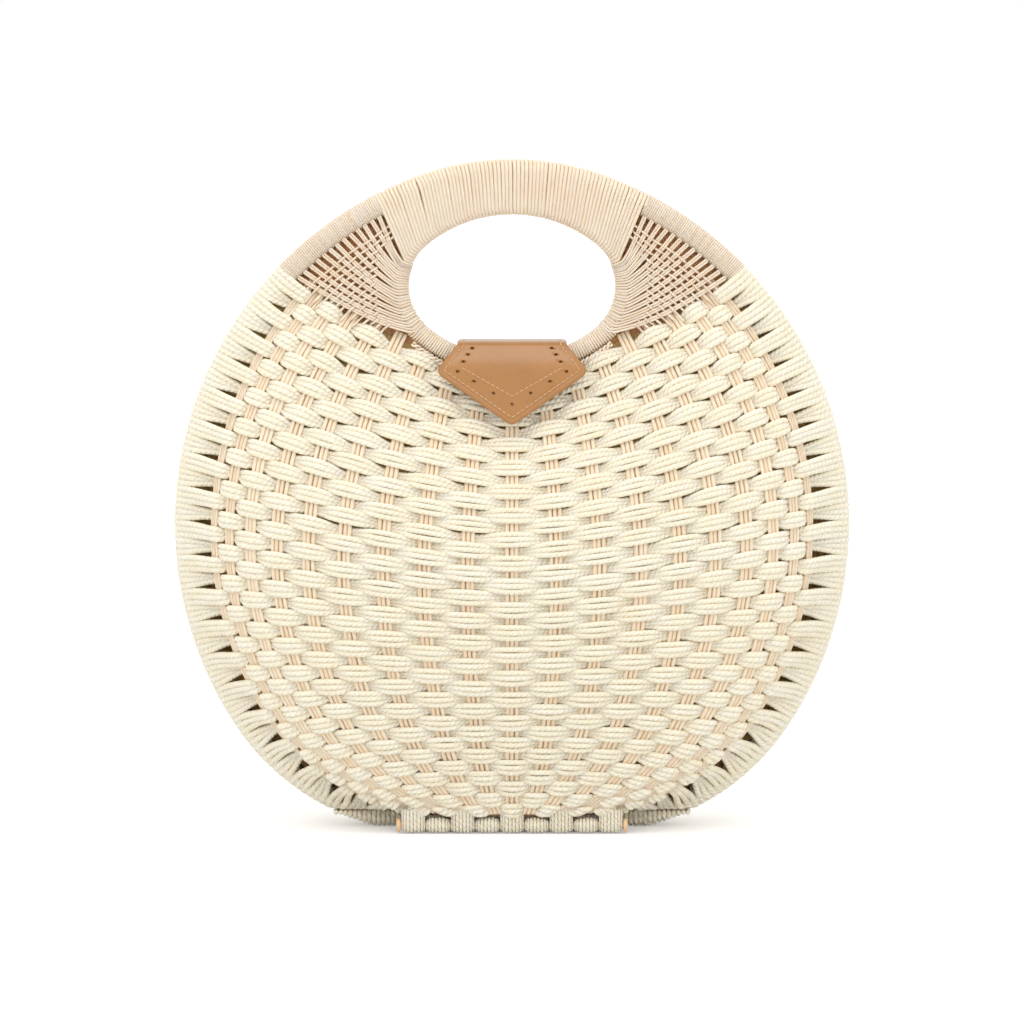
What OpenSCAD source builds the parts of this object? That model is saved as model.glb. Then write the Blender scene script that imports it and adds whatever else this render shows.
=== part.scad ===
// Round clamshell handbag of woven paper cord and cane, in millimetres.
// X runs to the right, Z up, the front faces -Y and the shells part at Y = 0.
// The origin is on the ground under the middle of the bag.

/* [Outline] */
// Height of the bag, over the handle
bag_h = 300; // [285:1:315]
// Radius of the outline over the handle, as a share of the height
top_share = 0.41; // [0.395:0.005:0.425]
// Radius of the outline at the sides, as a share of the height
side_share = 0.555; // [0.54:0.005:0.57]
// Radius of the outline at the lower corners, as a share of the height
low_share = 0.36; // [0.35:0.005:0.37]
// Half of the angle that the top arc covers
top_angle = 20; // [18:1:22]
// Angle below level at which the side arc ends
low_angle = 32.5; // [30:0.5:35]

/* [Hand hole] */
// Width of the hand hole
hole_w = 93; // [86:1:100]
// Height of the hand hole
hole_h = 64; // [58:1:70]
// Radius of the hole's two ends
hole_end_r = 24; // [21:0.5:26]
// Height of the handle over the hole
grip_h = 25; // [22:0.5:30]
// Angle on the side arc where the handle's binding ends
grip_end = 62.5; // [61:0.5:64]
// Angle on the side arc where the cream binding starts
cream_end = 44.5; // [43:0.5:46]

/* [Shells] */
// Depth of one shell at its belly
belly_d = 50; // [42:1:60]
// Depth of one shell at the base
base_d = 33; // [30:1:37]
// Depth of a shell's woven face where it meets its frame
edge_d = 8.5; // [8:0.1:9.5]
// Gap between each shell and the parting plane
part_gap = 0.2; // [0.15:0.05:0.4]
// Height of the woven base rim
rim_h = 7.8; // [7.6:0.1:9]
// Thickness of the woven wall under its relief
wall_t = 2.2; // [1.8:0.1:2.6]
// Height of the weave's relief
relief = 0.9; // [0.4:0.1:1.2]
// Stakes on each side of the middle one
side_stakes = 9; // [8:1:10]
// Rows of cord from the base to the hand hole
cord_rows = 38; // [32:2:42]
// Width of a stake
stake_w = 4.6; // [3:0.1:5.5]
// Thickness of a stake
stake_t = 1.4; // [1:0.1:1.8]
// Thickness of the lining
lining_t = 1.4; // [1:0.1:1.8]

/* [Frame] */
// Radius of the cane of the outer hoop
hoop_r = 3.5; // [3:0.1:4]
// Radius of the binding round the outer hoop
bind_r = 5.3; // [5:0.1:5.6]
// Radius of the cane of the oval hoop
oval_r = 2.4; // [2.2:0.1:2.6]
// Radius of the binding round the oval hoop
oval_bind_r = 4.2; // [3.9:0.1:4.5]
// Radius of the canes in the open lattice
strand_r = 0.9; // [0.7:0.05:1.1]
// Radial canes in each lattice
lattice_canes = 12; // [9:1:13]

/* [Hinge] */
// Radius of the hinge rod
rod_r = 1.9; // [1.6:0.05:2.2]
// Radius of the cord loops on the rod
loop_r = 3.5; // [3.2:0.05:3.6]
// Pitch of the loops
loop_pitch = 11; // [10:0.5:12]
// Loops on each side of the middle one
side_loops = 4; // [2:2:4]
// Running clearance of the rod in the moving loops
run_gap = 0.05; // [0.03:0.01:0.08]

/* [Closure] */
// Width of the leather where it folds over the hoops
fold_w = 49; // [44:1:52]
// Width of the tab at its widest
tab_w = 68.5; // [62:0.5:72]
// Length of the tab down the face
tab_len = 38.5; // [36:0.5:44]
// Distance from the fold down to the tab's widest place
tab_wide_at = 13; // [12:1:18]
// Slope of the tab from upright
tab_tilt = 27; // [24:1:30]
// Thickness of the leather
leather_t = 2.2; // [1.8:0.1:2.4]
// Radius of the magnets
magnet_r = 3.2; // [2.5:0.1:3.8]
// Thickness of the keeper magnet
magnet_t = 1.8; // [1.4:0.1:2.2]
// Thickness of the tongue's magnet
tongue_magnet_t = 1.2; // [1:0.1:1.3]

/* [Hidden] */

cream = "#f8f3da";
cane = "#f0d8b8";
tan_leather = "#bc8c5a";
steel = "#b8bcc0";
lining_fabric = "#e9dfc8";

// Gap between pieces that move past each other
clear = 0.3;
// Overrun of cuts
over = 1;
arc_n = 96;

// Radii and centres of the outline's arcs, as [x, z], right-hand side
top_r = bag_h * top_share;
side_r = bag_h * side_share;
low_r = bag_h * low_share;
grip_dir = 90 - top_angle;
top_c = [0, bag_h - top_r];
side_c = top_c + (top_r - side_r) * [cos(grip_dir), sin(grip_dir)];
low_c = side_c + (side_r - low_r) * [cos(low_angle), -sin(low_angle)];

// The hand hole is an oval of two end arcs and two broad arcs
hole_z = bag_h - grip_h - hole_h / 2;
end_x = hole_w / 2 - hole_end_r;
broad_r = (pow(hole_h / 2, 2) + pow(end_x, 2) - pow(hole_end_r, 2))
    / (hole_h - 2 * hole_end_r);
broad_off = broad_r - hole_h / 2;
oval_turn = atan2(broad_off, end_x);

hoop_y = part_gap + bind_r;
shell_z = rim_h + clear;

// Half width of the outline at height z, moved in by inset
function half_w(z, inset = 0) =
    z > top_c.y + (top_r - inset) * sin(grip_dir)
    ? sqrt(max(0, pow(top_r - inset, 2) - pow(z - top_c.y, 2)))
    : z > side_c.y - (side_r - inset) * sin(low_angle)
    ? side_c.x + sqrt(pow(side_r - inset, 2) - pow(z - side_c.y, 2))
    : low_c.x + sqrt(pow(low_r - inset, 2) - pow(z - low_c.y, 2));

// Angle on the lower arc a little past the place where a binding's inner side
// comes down to height z
foot_turn = 3;
function low_end(z) = asin(max(-1, (z - low_c.y) / (low_r - 2 * bind_r))) - foot_turn;

// A point of the oval, moved out by off, where its normal has angle a
function oval_point(a, off) =
    abs(a) < oval_turn
    ? [end_x, hole_z] + (hole_end_r + off) * [cos(a), sin(a)]
    : [0, hole_z - sign(a) * broad_off] + (broad_r + off) * [cos(a), sin(a)];

// The woven face, for u from -1 to 1 across and v from 0 at the base to 1
row_in = 2 * bind_r;
weave_z = hole_z - hole_h / 2 - 2 * oval_bind_r - clear;
rim_top = side_c.y + (side_r - row_in) * sin(cream_end);
rim_low_angle = -54;
rim_high_angle = 46;
belly_share = 0.5;
row_bow_shares = [2, 1.5];
base_flat_share = 4;
function rim_height(v) =
    let (a = rim_low_angle + v * (rim_high_angle - rim_low_angle),
        s = (sin(a) - sin(rim_low_angle)) / (sin(rim_high_angle) - sin(rim_low_angle)))
    shell_z + s * (rim_top - shell_z);
function belly(v) =
    v > belly_share
    ? cos(90 * (v - belly_share) / (1 - belly_share))
    : let (low = (base_d - edge_d) / (belly_d - edge_d))
        low + (1 - low) * cos(90 * (belly_share - v) / belly_share);
function face(u, v) =
    let (
        zr = rim_height(v),
        bow = row_bow_shares[0] + (row_bow_shares[1] - row_bow_shares[0]) * v,
        zc = shell_z + v * (weave_z - shell_z),
        p = 2 + base_flat_share * pow(1 - v, 4),
        across = sqrt(max(0, 1 - pow(abs(u), p)))
    )
    [u * half_w(zr, row_in), -edge_d - (belly_d - edge_d) * across * belly(v),
        zc + (zr - zc) * pow(abs(u), bow)];

// The same face moved out along its normal by off
step_share = 0.02;
function face_off(u, v, off) =
    let (
        du = face(min(1, u + step_share), v) - face(max(-1, u - step_share), v),
        dv = face(u, min(1, v + step_share)) - face(u, max(0, v - step_share)),
        n = cross(du, dv)
    )
    face(u, v) + n / norm(n) * off;

// Stakes close up towards the rim as they would round a drum
stake_angle = 8;
function stake_u(k) = sin(stake_angle * k) / sin(stake_angle * (side_stakes + 1));

// Faces of a closed sheet: two grids of rows by cols points, outer grid first
function sheet_faces(rows, cols) =
    let (n = rows * cols, at = function (r, c) r * cols + c)
    concat(
        [for (r = [0 : rows - 2], c = [0 : cols - 2])
            each (r + c) % 2 == 0 ? [
            [at(r, c), at(r + 1, c), at(r + 1, c + 1)],
            [at(r, c), at(r + 1, c + 1), at(r, c + 1)],
            [n + at(r, c), n + at(r + 1, c + 1), n + at(r + 1, c)],
            [n + at(r, c), n + at(r, c + 1), n + at(r + 1, c + 1)]] : [
            [at(r, c), at(r + 1, c), at(r, c + 1)],
            [at(r + 1, c), at(r + 1, c + 1), at(r, c + 1)],
            [n + at(r, c), n + at(r, c + 1), n + at(r + 1, c)],
            [n + at(r + 1, c), n + at(r, c + 1), n + at(r + 1, c + 1)]]],
        [for (c = [0 : cols - 2]) each [
            [at(0, c), at(0, c + 1), n + at(0, c)],
            [at(0, c + 1), n + at(0, c + 1), n + at(0, c)],
            [at(rows - 1, c + 1), at(rows - 1, c), n + at(rows - 1, c)],
            [n + at(rows - 1, c + 1), at(rows - 1, c + 1), n + at(rows - 1, c)]]],
        [for (r = [0 : rows - 2]) each [
            [at(r + 1, 0), at(r, 0), n + at(r, 0)],
            [n + at(r + 1, 0), at(r + 1, 0), n + at(r, 0)],
            [at(r, cols - 1), at(r + 1, cols - 1), n + at(r, cols - 1)],
            [at(r + 1, cols - 1), n + at(r + 1, cols - 1), n + at(r, cols - 1)]]]);

// A round cane or binding bent along an arc in the hoops' plane. Lengths that
// follow each other are butted with a hairline between them.
hairline = 0.06;
module bent(centre, r, tube_r, from, to, bore = 0) {
    trim = hairline / r * 90 / PI;
    translate([centre.x, -hoop_y, centre.y]) rotate([90, 0, 0]) rotate([0, 0, from + trim])
        rotate_extrude(angle = to - from - 2 * trim, $fn = arc_n)
            translate([r, 0]) difference() {
                circle(r = tube_r, $fn = arc_n / 3);
                if (bore > 0)
                    circle(r = bore, $fn = arc_n / 3);
            }
}

module both_sides() {
    children();
    mirror([1, 0, 0]) children();
}

// Only what lies above height z
module above(z) intersection() {
    children();
    translate([-bag_h, -bag_h, z]) cube(2 * bag_h);
}

// Everything on the back shell is the front one's mirror image
module back() mirror([0, 1, 0]) children();

// The frame of one shell
module outer_hoop(foot_z) {
    inset = bind_r;
    bent(top_c, top_r - inset, hoop_r, grip_dir, 180 - grip_dir);
    both_sides() {
        bent(side_c, side_r - inset, hoop_r, -low_angle, grip_dir);
        above(foot_z) bent(low_c, low_r - inset, hoop_r, low_end(foot_z), -low_angle);
    }
}

module oval_ring(tube_r, end_from, bore = 0) {
    broad = broad_r + oval_bind_r;
    bent([0, hole_z + broad_off], broad, tube_r, -180 + oval_turn, -oval_turn, bore);
    both_sides() bent([end_x, hole_z], hole_end_r + oval_bind_r, tube_r,
        -oval_turn, end_from, bore);
}

module oval_hoop() {
    oval_ring(oval_r, oval_turn);
    bent([0, hole_z - broad_off], broad_r + oval_bind_r, oval_r, oval_turn, 180 - oval_turn);
}

// Outline over the handle as points, moved in by inset
grip_n = 12;
function grip_points(inset) = concat(
    [for (a = [grip_end, (grip_end + grip_dir) / 2])
        side_c + (side_r - inset) * [cos(a), sin(a)]],
    [for (i = [0 : grip_n]) let (a = grip_dir + 2 * top_angle * i / grip_n)
        top_c + (top_r - inset) * [cos(a), sin(a)]],
    [for (a = [(grip_end + grip_dir) / 2, grip_end])
        [-side_c.x - (side_r - inset) * cos(a), side_c.y + (side_r - inset) * sin(a)]]);

// The top of the oval as points, moved out by off
grip_in_angle = 23;
end_n = 4;
broad_n = 10;
function oval_end(off) = [for (i = [0 : end_n])
    oval_point(grip_in_angle + (oval_turn - grip_in_angle) * i / end_n, off)];
function oval_top(off) = concat(
    oval_end(off),
    [for (i = [1 : broad_n - 1])
        oval_point_broad(oval_turn + (180 - 2 * oval_turn) * i / broad_n, off)],
    [for (i = [end_n : -1 : 0]) let (p = oval_end(off)[i]) [-p.x, p.y]]);
function oval_point_broad(a, off) =
    [0, hole_z - broad_off] + (broad_r + off) * [cos(a), sin(a)];

// The handle's binding goes round both hoops, and is thinner between them
web_share = 0.8;
web_lap = 0.1;
module grip_binding() {
    web = oval_bind_r * web_share;
    bent(top_c, top_r - bind_r, bind_r, grip_dir, 180 - grip_dir, hoop_r);
    both_sides() bent(side_c, side_r - bind_r, bind_r, grip_end, grip_dir, hoop_r);
    both_sides() bent([end_x, hole_z], hole_end_r + oval_bind_r, oval_bind_r,
        grip_in_angle, oval_turn, oval_r);
    bent([0, hole_z - broad_off], broad_r + oval_bind_r, oval_bind_r,
        oval_turn, 180 - oval_turn, oval_r);
    translate([0, web - hoop_y, 0]) rotate([90, 0, 0]) linear_extrude(2 * web)
        polygon(concat(grip_points(bind_r + hoop_r + web_lap),
            [for (i = [len(oval_top(0)) - 1 : -1 : 0])
                oval_top(oval_bind_r + oval_r + web_lap)[i]]));
}

module cane_binding()
    both_sides() bent(side_c, side_r - bind_r, bind_r, cream_end, grip_end, hoop_r);

module cord_binding(foot_z)
    both_sides() {
        bent(side_c, side_r - bind_r, bind_r, -low_angle, cream_end, hoop_r);
        above(foot_z) bent(low_c, low_r - bind_r, bind_r, low_end(foot_z), -low_angle, hoop_r);
    }

module oval_binding() oval_ring(oval_bind_r, grip_in_angle, oval_r);

// Open cane lattice between the hoops, right-hand side: radial canes, with
// weavers across them that follow circles through three points
lattice_foot = -62;
weavers = 5;
weaver_first = 0.2;
weaver_last = 0.68;
// Normal's angle at share t of the way along the oval, from the handle down
function lattice_angle(t) =
    let (
        off = 2 * oval_bind_r,
        end_len = (grip_in_angle + oval_turn) * (hole_end_r + off),
        broad_len = (-lattice_foot - oval_turn) * (broad_r + off),
        s = t * (end_len + broad_len)
    )
    s < end_len ? grip_in_angle - s / (hole_end_r + off)
    : -oval_turn - (s - end_len) / (broad_r + off);

// Point on radial cane t, from 0 at the handle to 1, at share d of its length
function lattice_point(t, d) =
    let (
        a = grip_end + (cream_end - grip_end) * t,
        start = side_c + (side_r - row_in - clear) * [cos(a), sin(a)],
        end = oval_point(lattice_angle(t), 2 * oval_bind_r + clear + strand_r)
    )
    start + (end - start) * d;

function circle_centre(a, b, c) =
    let (
        ab = b - a,
        ac = c - a,
        k = 2 * (ab.x * ac.y - ab.y * ac.x)
    )
    a + [ac.y * (ab * ab) - ab.y * (ac * ac), ab.x * (ac * ac) - ac.x * (ab * ab)] / k;

module lattice() {
    for (i = [0 : lattice_canes - 1]) {
        t = (i + 1 / 2) / lattice_canes;
        start = lattice_point(t, 0);
        way = lattice_point(t, 1) - start;
        translate([start.x, -hoop_y, start.y]) rotate([0, atan2(way.x, way.y), 0])
            cylinder(r = strand_r, h = norm(way), $fn = 24);
    }
    for (i = [0 : weavers - 1]) {
        d = weaver_first + (weaver_last - weaver_first) * i / (weavers - 1);
        margin = 1 / (4 * lattice_canes);
        first = lattice_point(margin, d);
        last = lattice_point(1, d);
        centre = circle_centre(first, lattice_point(1 / 2, d), last);
        low = atan2(last.y - centre.y, last.x - centre.x);
        high = atan2(first.y - centre.y, first.x - centre.x);
        translate([0, -2 * strand_r - clear / 3, 0])
            bent(centre, norm(first - centre), strand_r, low, high);
    }
}

// Woven face: each cord row goes over one stake and under the next
module weave() {
    cols = 2 * side_stakes + 3;
    rows = cord_rows + 1;
    us = [for (c = [0 : cols - 1]) stake_u(c - side_stakes - 1)];
    points = [for (side = [0, 1], r = [0 : rows - 1], c = [0 : cols - 1])
        let (rim = c == 0 || c == cols - 1 || r == 0 || r == rows - 1,
            lift = rim ? 0 : (r + c) % 2 == 0 ? relief : -relief)
        face_off(us[c], r / (rows - 1), side == 0 ? lift : -wall_t)];
    polyhedron(points, sheet_faces(rows, cols));
}

// Flat strip of cane behind the woven wall, along one stake's line
stake_rings = 13;
stake_gap = 0.4;
// Rings lie closer together near the base, where the face curves most
ring_power = 1.3;
stake_fill_share = 0.36;
module stakes()
    for (k = [-side_stakes : side_stakes]) {
        points = [for (side = [0, 1], r = [0 : stake_rings - 1], c = [0, 1])
            let (v = pow(r / (stake_rings - 1), ring_power),
                depth = -wall_t - stake_gap - side * stake_t,
                left = face_off(stake_u(k - 1 / 4), v, depth),
                right = face_off(stake_u(k + 1 / 4), v, depth),
                pitch = 2 * norm(right - left),
                w = min(stake_w, stake_fill_share * pitch))
            face_off(stake_u(k), v, depth) + (right - left) / norm(right - left) * w * (c - 1 / 2)];
        polyhedron(points, sheet_faces(stake_rings, 2));
    }

// The lining starts over the rail and hangs a little inside the stakes
lining_n = 13;
lining_slack = 2.1;
module lining() {
    depth = wall_t + stake_gap + stake_t + lining_slack;
    foot = (rail_h + clear) / (weave_z - shell_z);
    points = [for (side = [0, 1], r = [0 : lining_n - 1], c = [0 : lining_n - 1])
        face_off(sin(90 * (2 * c / (lining_n - 1) - 1)),
            foot + (1 - foot) * r / (lining_n - 1), -depth - side * lining_t)];
    polyhedron(points, sheet_faces(lining_n, lining_n));
}

// Plan of a shell's foot, moved in by inset
plan_n = 24;
function foot_plan(inset) = [for (i = [0 : plan_n])
    let (u = sin(90 * (2 * i / plan_n - 1)), p = face_off(u, 0, 0))
    [p.x * (1 - inset / face(1, 0).x), min(-edge_d / 2, p.y + inset)]];

// Loops and hinge rod under the front shell's foot
rod_y = -(base_d - loop_r);
rod_z = loop_r + clear;
loop_len = loop_pitch - 2 * clear;
hinge_half = (side_loops + 1 / 2) * loop_pitch;

module loop_ring(x, bore)
    translate([x - loop_len / 2, rod_y, rod_z]) rotate([0, 90, 0]) difference() {
        cylinder(r = loop_r, h = loop_len, $fn = arc_n);
        translate([0, 0, -over]) cylinder(r = bore, h = loop_len + 2 * over, $fn = arc_n);
    }

module rod_clearance(bore)
    translate([-hinge_half, rod_y, rod_z]) rotate([0, 90, 0])
        cylinder(r = bore, h = 2 * hinge_half, $fn = arc_n);

lug_t = 2.2;
rail_w = 3.6;
rail_h = 4;
rail_in = wall_t + stake_gap + stake_t + clear;

module hinge_rod() color(cane) {
    cap_t = loop_r / 2;
    reach = hinge_half + clear;
    translate([-reach, rod_y, rod_z]) rotate([0, 90, 0])
        cylinder(r = rod_r, h = 2 * reach, $fn = arc_n);
    for (x = [-reach - cap_t, reach])
        translate([x, rod_y, rod_z]) rotate([0, 90, 0])
            cylinder(r = rod_r + lug_t / 2, h = cap_t, $fn = arc_n);
}

module base_loops() color(cream)
    for (i = [-side_loops + 1 : 2 : side_loops - 1]) difference() {
        x = i * loop_pitch;
        union() {
            loop_ring(x, rod_r);
            translate([x - loop_len / 2, rod_y, rod_z - lug_t / 2])
                cube([loop_len, loop_r + clear, lug_t]);
        }
        rod_clearance(rod_r);
    }

module front_loops() color(cream)
    for (i = [-side_loops : 2 : side_loops]) difference() {
        x = i * loop_pitch;
        union() {
            loop_ring(x, rod_r + run_gap);
            translate([x - loop_len / 2, rod_y, rod_z])
                cube([loop_len, lug_t, shell_z - rod_z]);
        }
        rod_clearance(rod_r + run_gap);
    }

module front_rail() color(cane)
    translate([0, 0, shell_z]) linear_extrude(rail_h) intersection() {
        difference() {
            polygon(concat(foot_plan(rail_in), [[face(1, 0).x, 0], [-face(1, 0).x, 0]]));
            polygon(concat(foot_plan(rail_in + rail_w),
                [[face(1, 0).x, over], [-face(1, 0).x, over]]));
        }
        translate([-half_w(shell_z), -base_d]) square([2 * half_w(shell_z), base_d - edge_d]);
    }

module base_plan(inset) {
    half = foot_plan(inset);
    polygon(concat(half, [for (i = [plan_n : -1 : 0]) [half[i].x, -half[i].y]]));
}

rim_n = 4;
module base_rim() color(cream) intersection() {
    linear_extrude(rim_h) difference() {
        union() {
            base_plan(0);
            translate([-half_w(rim_h), -edge_d]) square([2 * half_w(rim_h), 2 * edge_d]);
        }
        translate([-hinge_half - 3 * clear - loop_r / 2, -base_d - over])
            square([2 * hinge_half + 6 * clear + loop_r, base_d + over + rod_y + loop_r + clear]);
    }
    translate([0, base_d + over, 0]) rotate([90, 0, 0])
        linear_extrude(2 * base_d + 2 * over)
            polygon(concat([for (i = [0 : rim_n]) [half_w(i * rim_h / rim_n), i * rim_h / rim_n]],
                [for (i = [rim_n : -1 : 0])
                    [-half_w(i * rim_h / rim_n), i * rim_h / rim_n]]));
}

board_t = 1.5;
module base_board() color(lining_fabric)
    translate([0, 0, rim_h]) linear_extrude(board_t)
        base_plan(rail_in + rail_w + 2 * clear);

// Leather closure: a tab on the front face, a tongue over both hoops
leather_z = hole_z + broad_off - sqrt(pow(broad_r, 2) - pow(fold_w / 2, 2)) + clear;
fold_y = hoop_y + bind_r - part_gap;
bend_r = 2.4;
axis_y = -hoop_y - oval_bind_r / 2;
// Distance of the punched holes from the tab's corners
punch_in = 10;
punch_top_share = 0.75;
hole_r = 0.7;

function unit(p) = p / norm(p);
// Polygon with its corners rounded to radius r
function rounded(points, r, n = 5) =
    let (c = len(points))
    [for (i = [0 : c - 1])
        let (
            p = points[i],
            a = unit(points[(i + c - 1) % c] - p),
            b = unit(points[(i + 1) % c] - p),
            half = acos(a * b) / 2,
            centre = p + unit(a + b) * r / sin(half),
            start = p + a * r / tan(half) - centre,
            turn = 180 - 2 * half,
            way = a.x * b.y - a.y * b.x > 0 ? -1 : 1
        )
        for (j = [0 : n])
            let (t = way * turn * j / n)
            centre + [start.x * cos(t) - start.y * sin(t), start.x * sin(t) + start.y * cos(t)]];

// Tab outline: x across, y down the face from the fold
tab_corner_r = 4;
function tab_corners() = [
    [-fold_w / 2, 0],
    [-tab_w / 2, tab_wide_at],
    [0, tab_len],
    [tab_w / 2, tab_wide_at],
    [fold_w / 2, 0]];

punch_across_shares = [0.34, 0.7];
punch_side_shares = [0, 0.36, 0.64, 0.9];
module punches() {
    tip = [0, tab_len - punch_in];
    wide = [tab_w / 2 - punch_in, tab_wide_at];
    top = [fold_w / 2 - punch_in * punch_top_share, 0];
    translate(tip) circle(r = hole_r, $fn = 16);
    for (s = punch_across_shares, side = [-1, 1]) {
        p = tip + (wide - tip) * s;
        translate([side * p.x, p.y]) circle(r = hole_r, $fn = 16);
    }
    for (s = punch_side_shares, side = [-1, 1]) {
        p = wide + (top - wide) * s;
        translate([side * p.x, p.y]) circle(r = hole_r, $fn = 16);
    }
}

// Section of the tab: down the face, round the bend and back over the saddle
bend_n = 8;
function bend_arc(r) = [for (i = [0 : bend_n])
    let (a = 90 + (90 - tab_tilt) * i / bend_n) r * [cos(a), sin(a)]];
module tab_section() {
    run = tab_len * [-sin(tab_tilt), -cos(tab_tilt)];
    seat = fold_y + axis_y - leather_t / 2 - clear;
    outer = bend_arc(bend_r + leather_t);
    inner = bend_arc(bend_r);
    polygon(concat([[seat, bend_r + leather_t]], outer, [outer[bend_n] + run, inner[bend_n] + run],
        [for (i = [bend_n : -1 : 0]) inner[i]], [[seat, bend_r]]));
}

module leather_tab() color(tan_leather)
    translate([0, -fold_y, leather_z - bend_r]) intersection() {
        rotate([90, 0, 90]) translate([0, 0, -tab_w]) linear_extrude(2 * tab_w) tab_section();
        rotate([-tab_tilt, 0, 0]) translate([0, -tab_len, 0]) rotate([-90, 0, 0])
            linear_extrude(2 * tab_len) difference() {
                polygon(concat([[-fold_w / 2, -tab_len], [-fold_w / 2, leather_t / 4]],
                    [for (p = rounded(tab_corners(), tab_corner_r)) if (p.y > tab_corner_r) p],
                    [[fold_w / 2, leather_t / 4], [fold_w / 2, -tab_len]]));
                punches();
            }
    }

tongue_reach = hoop_y + oval_bind_r;
module tongue() color(tan_leather) difference() {
    union() {
        translate([0, 0, leather_z]) linear_extrude(leather_t) intersection() {
            translate([-fold_w / 2, axis_y]) square([fold_w, tongue_reach - axis_y]);
            polygon(rounded([[-fold_w / 2, axis_y - fold_w], [-fold_w / 2, tongue_reach],
                [fold_w / 2, tongue_reach], [fold_w / 2, axis_y - fold_w]], tab_corner_r));
        }
        // The crease that the tongue turns on
        translate([-fold_w / 2, axis_y, leather_z + leather_t / 2]) rotate([0, 90, 0])
            cylinder(r = leather_t / 2 - hairline, h = fold_w, $fn = arc_n / 2);
    }
    translate([0, hoop_y, leather_z - over])
        cylinder(r = magnet_r + run_gap, h = tongue_magnet_t + over, $fn = arc_n / 2);
}

module tongue_magnet() color(steel)
    translate([0, hoop_y, leather_z]) cylinder(r = magnet_r, h = tongue_magnet_t, $fn = arc_n / 2);

// Saddle that levels the oval hoop's dip under the leather
module saddle(pocket) {
    top = leather_z - clear;
    difference() {
        translate([0, -part_gap - clear, 0]) rotate([90, 0, 0])
            linear_extrude(hoop_y + oval_bind_r - part_gap - 2 * clear) intersection() {
                translate([0, hole_z + broad_off]) circle(r = broad_r, $fn = arc_n);
                translate([-fold_w / 2 + clear, top - hole_h]) square([fold_w - 2 * clear, hole_h]);
            }
        if (pocket)
            translate([0, -hoop_y, top - magnet_t])
                cylinder(r = magnet_r + run_gap, h = magnet_t + over, $fn = arc_n / 2);
    }
}

module keeper_magnet() color(steel)
    translate([0, hoop_y, leather_z - clear - magnet_t])
        cylinder(r = magnet_r, h = magnet_t, $fn = arc_n / 2);

base_rim();
base_board();
hinge_rod();
base_loops();
color(cane) back() outer_hoop(rim_h);  // back_outer_hoop
color(cane) back() oval_hoop();  // back_oval_hoop
color(cane) back() grip_binding();  // back_grip_binding
color(cane) back() cane_binding();  // back_cane_binding
color(cream) back() cord_binding(rim_h);  // back_cord_binding
color(cane) back() oval_binding();  // back_oval_binding
color(cane) back() mirror([1, 0, 0]) lattice();  // back_lattice_left
color(cane) back() lattice();  // back_lattice_right
color(cream) back() weave();  // back_weave
color(cane) back() stakes();  // back_stakes
color(lining_fabric) back() lining();  // back_lining
color(tan_leather) back() saddle(true);  // back_saddle
keeper_magnet();
front_rail();
front_loops();
color(cane) outer_hoop(shell_z);  // front_outer_hoop
color(cane) oval_hoop();  // front_oval_hoop
color(cane) grip_binding();  // front_grip_binding
color(cane) cane_binding();  // front_cane_binding
color(cream) cord_binding(shell_z);  // front_cord_binding
color(cane) oval_binding();  // front_oval_binding
color(cane) mirror([1, 0, 0]) lattice();  // front_lattice_left
color(cane) lattice();  // front_lattice_right
color(cream) weave();  // front_weave
color(cane) stakes();  // front_stakes
color(lining_fabric) lining();  // front_lining
color(tan_leather) saddle(false);  // front_saddle
leather_tab();
tongue();
tongue_magnet();
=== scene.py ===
import math

import bmesh
import bpy
import numpy as np
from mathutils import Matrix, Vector


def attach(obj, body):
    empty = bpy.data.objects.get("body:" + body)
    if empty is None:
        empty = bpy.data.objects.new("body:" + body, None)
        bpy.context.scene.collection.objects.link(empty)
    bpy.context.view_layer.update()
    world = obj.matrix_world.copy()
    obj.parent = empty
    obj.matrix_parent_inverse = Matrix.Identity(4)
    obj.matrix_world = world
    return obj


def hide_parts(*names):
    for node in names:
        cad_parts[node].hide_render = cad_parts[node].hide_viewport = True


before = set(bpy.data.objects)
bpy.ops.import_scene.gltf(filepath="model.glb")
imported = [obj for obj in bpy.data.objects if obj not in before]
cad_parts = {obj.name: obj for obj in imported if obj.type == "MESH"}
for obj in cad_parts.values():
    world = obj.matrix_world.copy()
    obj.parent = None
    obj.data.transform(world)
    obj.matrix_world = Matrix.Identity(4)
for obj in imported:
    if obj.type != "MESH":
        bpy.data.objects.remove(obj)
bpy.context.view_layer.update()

mm = 0.001
rng = np.random.default_rng(11)

# The bag's own shape in mm and degrees, with the solid model's numbers
bag = {
    "height": 300, "topRadius": 123, "sideRadius": 166.5, "lowRadius": 108,
    "topAngle": 20, "lowAngle": 32.5,
    "holeWidth": 93, "holeHeight": 64, "holeEndRadius": 24, "gripHeight": 25,
    "gripEnd": 62.5, "creamEnd": 44.5, "gripInside": 23, "rowsFrom": -54, "rowsTo": 46,
    "fullness": 2, "footFullness": 4, "rowBend": 2, "rowFlatter": 0.5, "weaveGap": 0.3,
    "bellyDepth": 50, "baseDepth": 33, "edgeDepth": 8.5, "footHeight": 8.1, "rimHeight": 7.8,
    "hoopRadius": 5.3, "ovalRadius": 4.2, "hoopPlane": 5.5,
    "rodHeight": 3.8, "rodBack": 29.5, "loopPitch": 11, "sideLoops": 4, "recessBack": 25.7,
    "foldWidth": 49, "tabWidth": 68.5, "tabLength": 38.5, "tabWideAt": 13, "tabTilt": 27,
    "leather": 2.2, "bendRadius": 2.4, "axisBack": 7.6, "tongueReach": 9.7,
}

gripDir = 90 - bag["topAngle"]
topCentre = np.array([0, bag["height"] - bag["topRadius"]])


def onCircle(centre, radius, degrees):
    a = np.radians(degrees)
    return np.stack([centre[0] + radius * np.cos(a), centre[1] + radius * np.sin(a)], -1)


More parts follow.
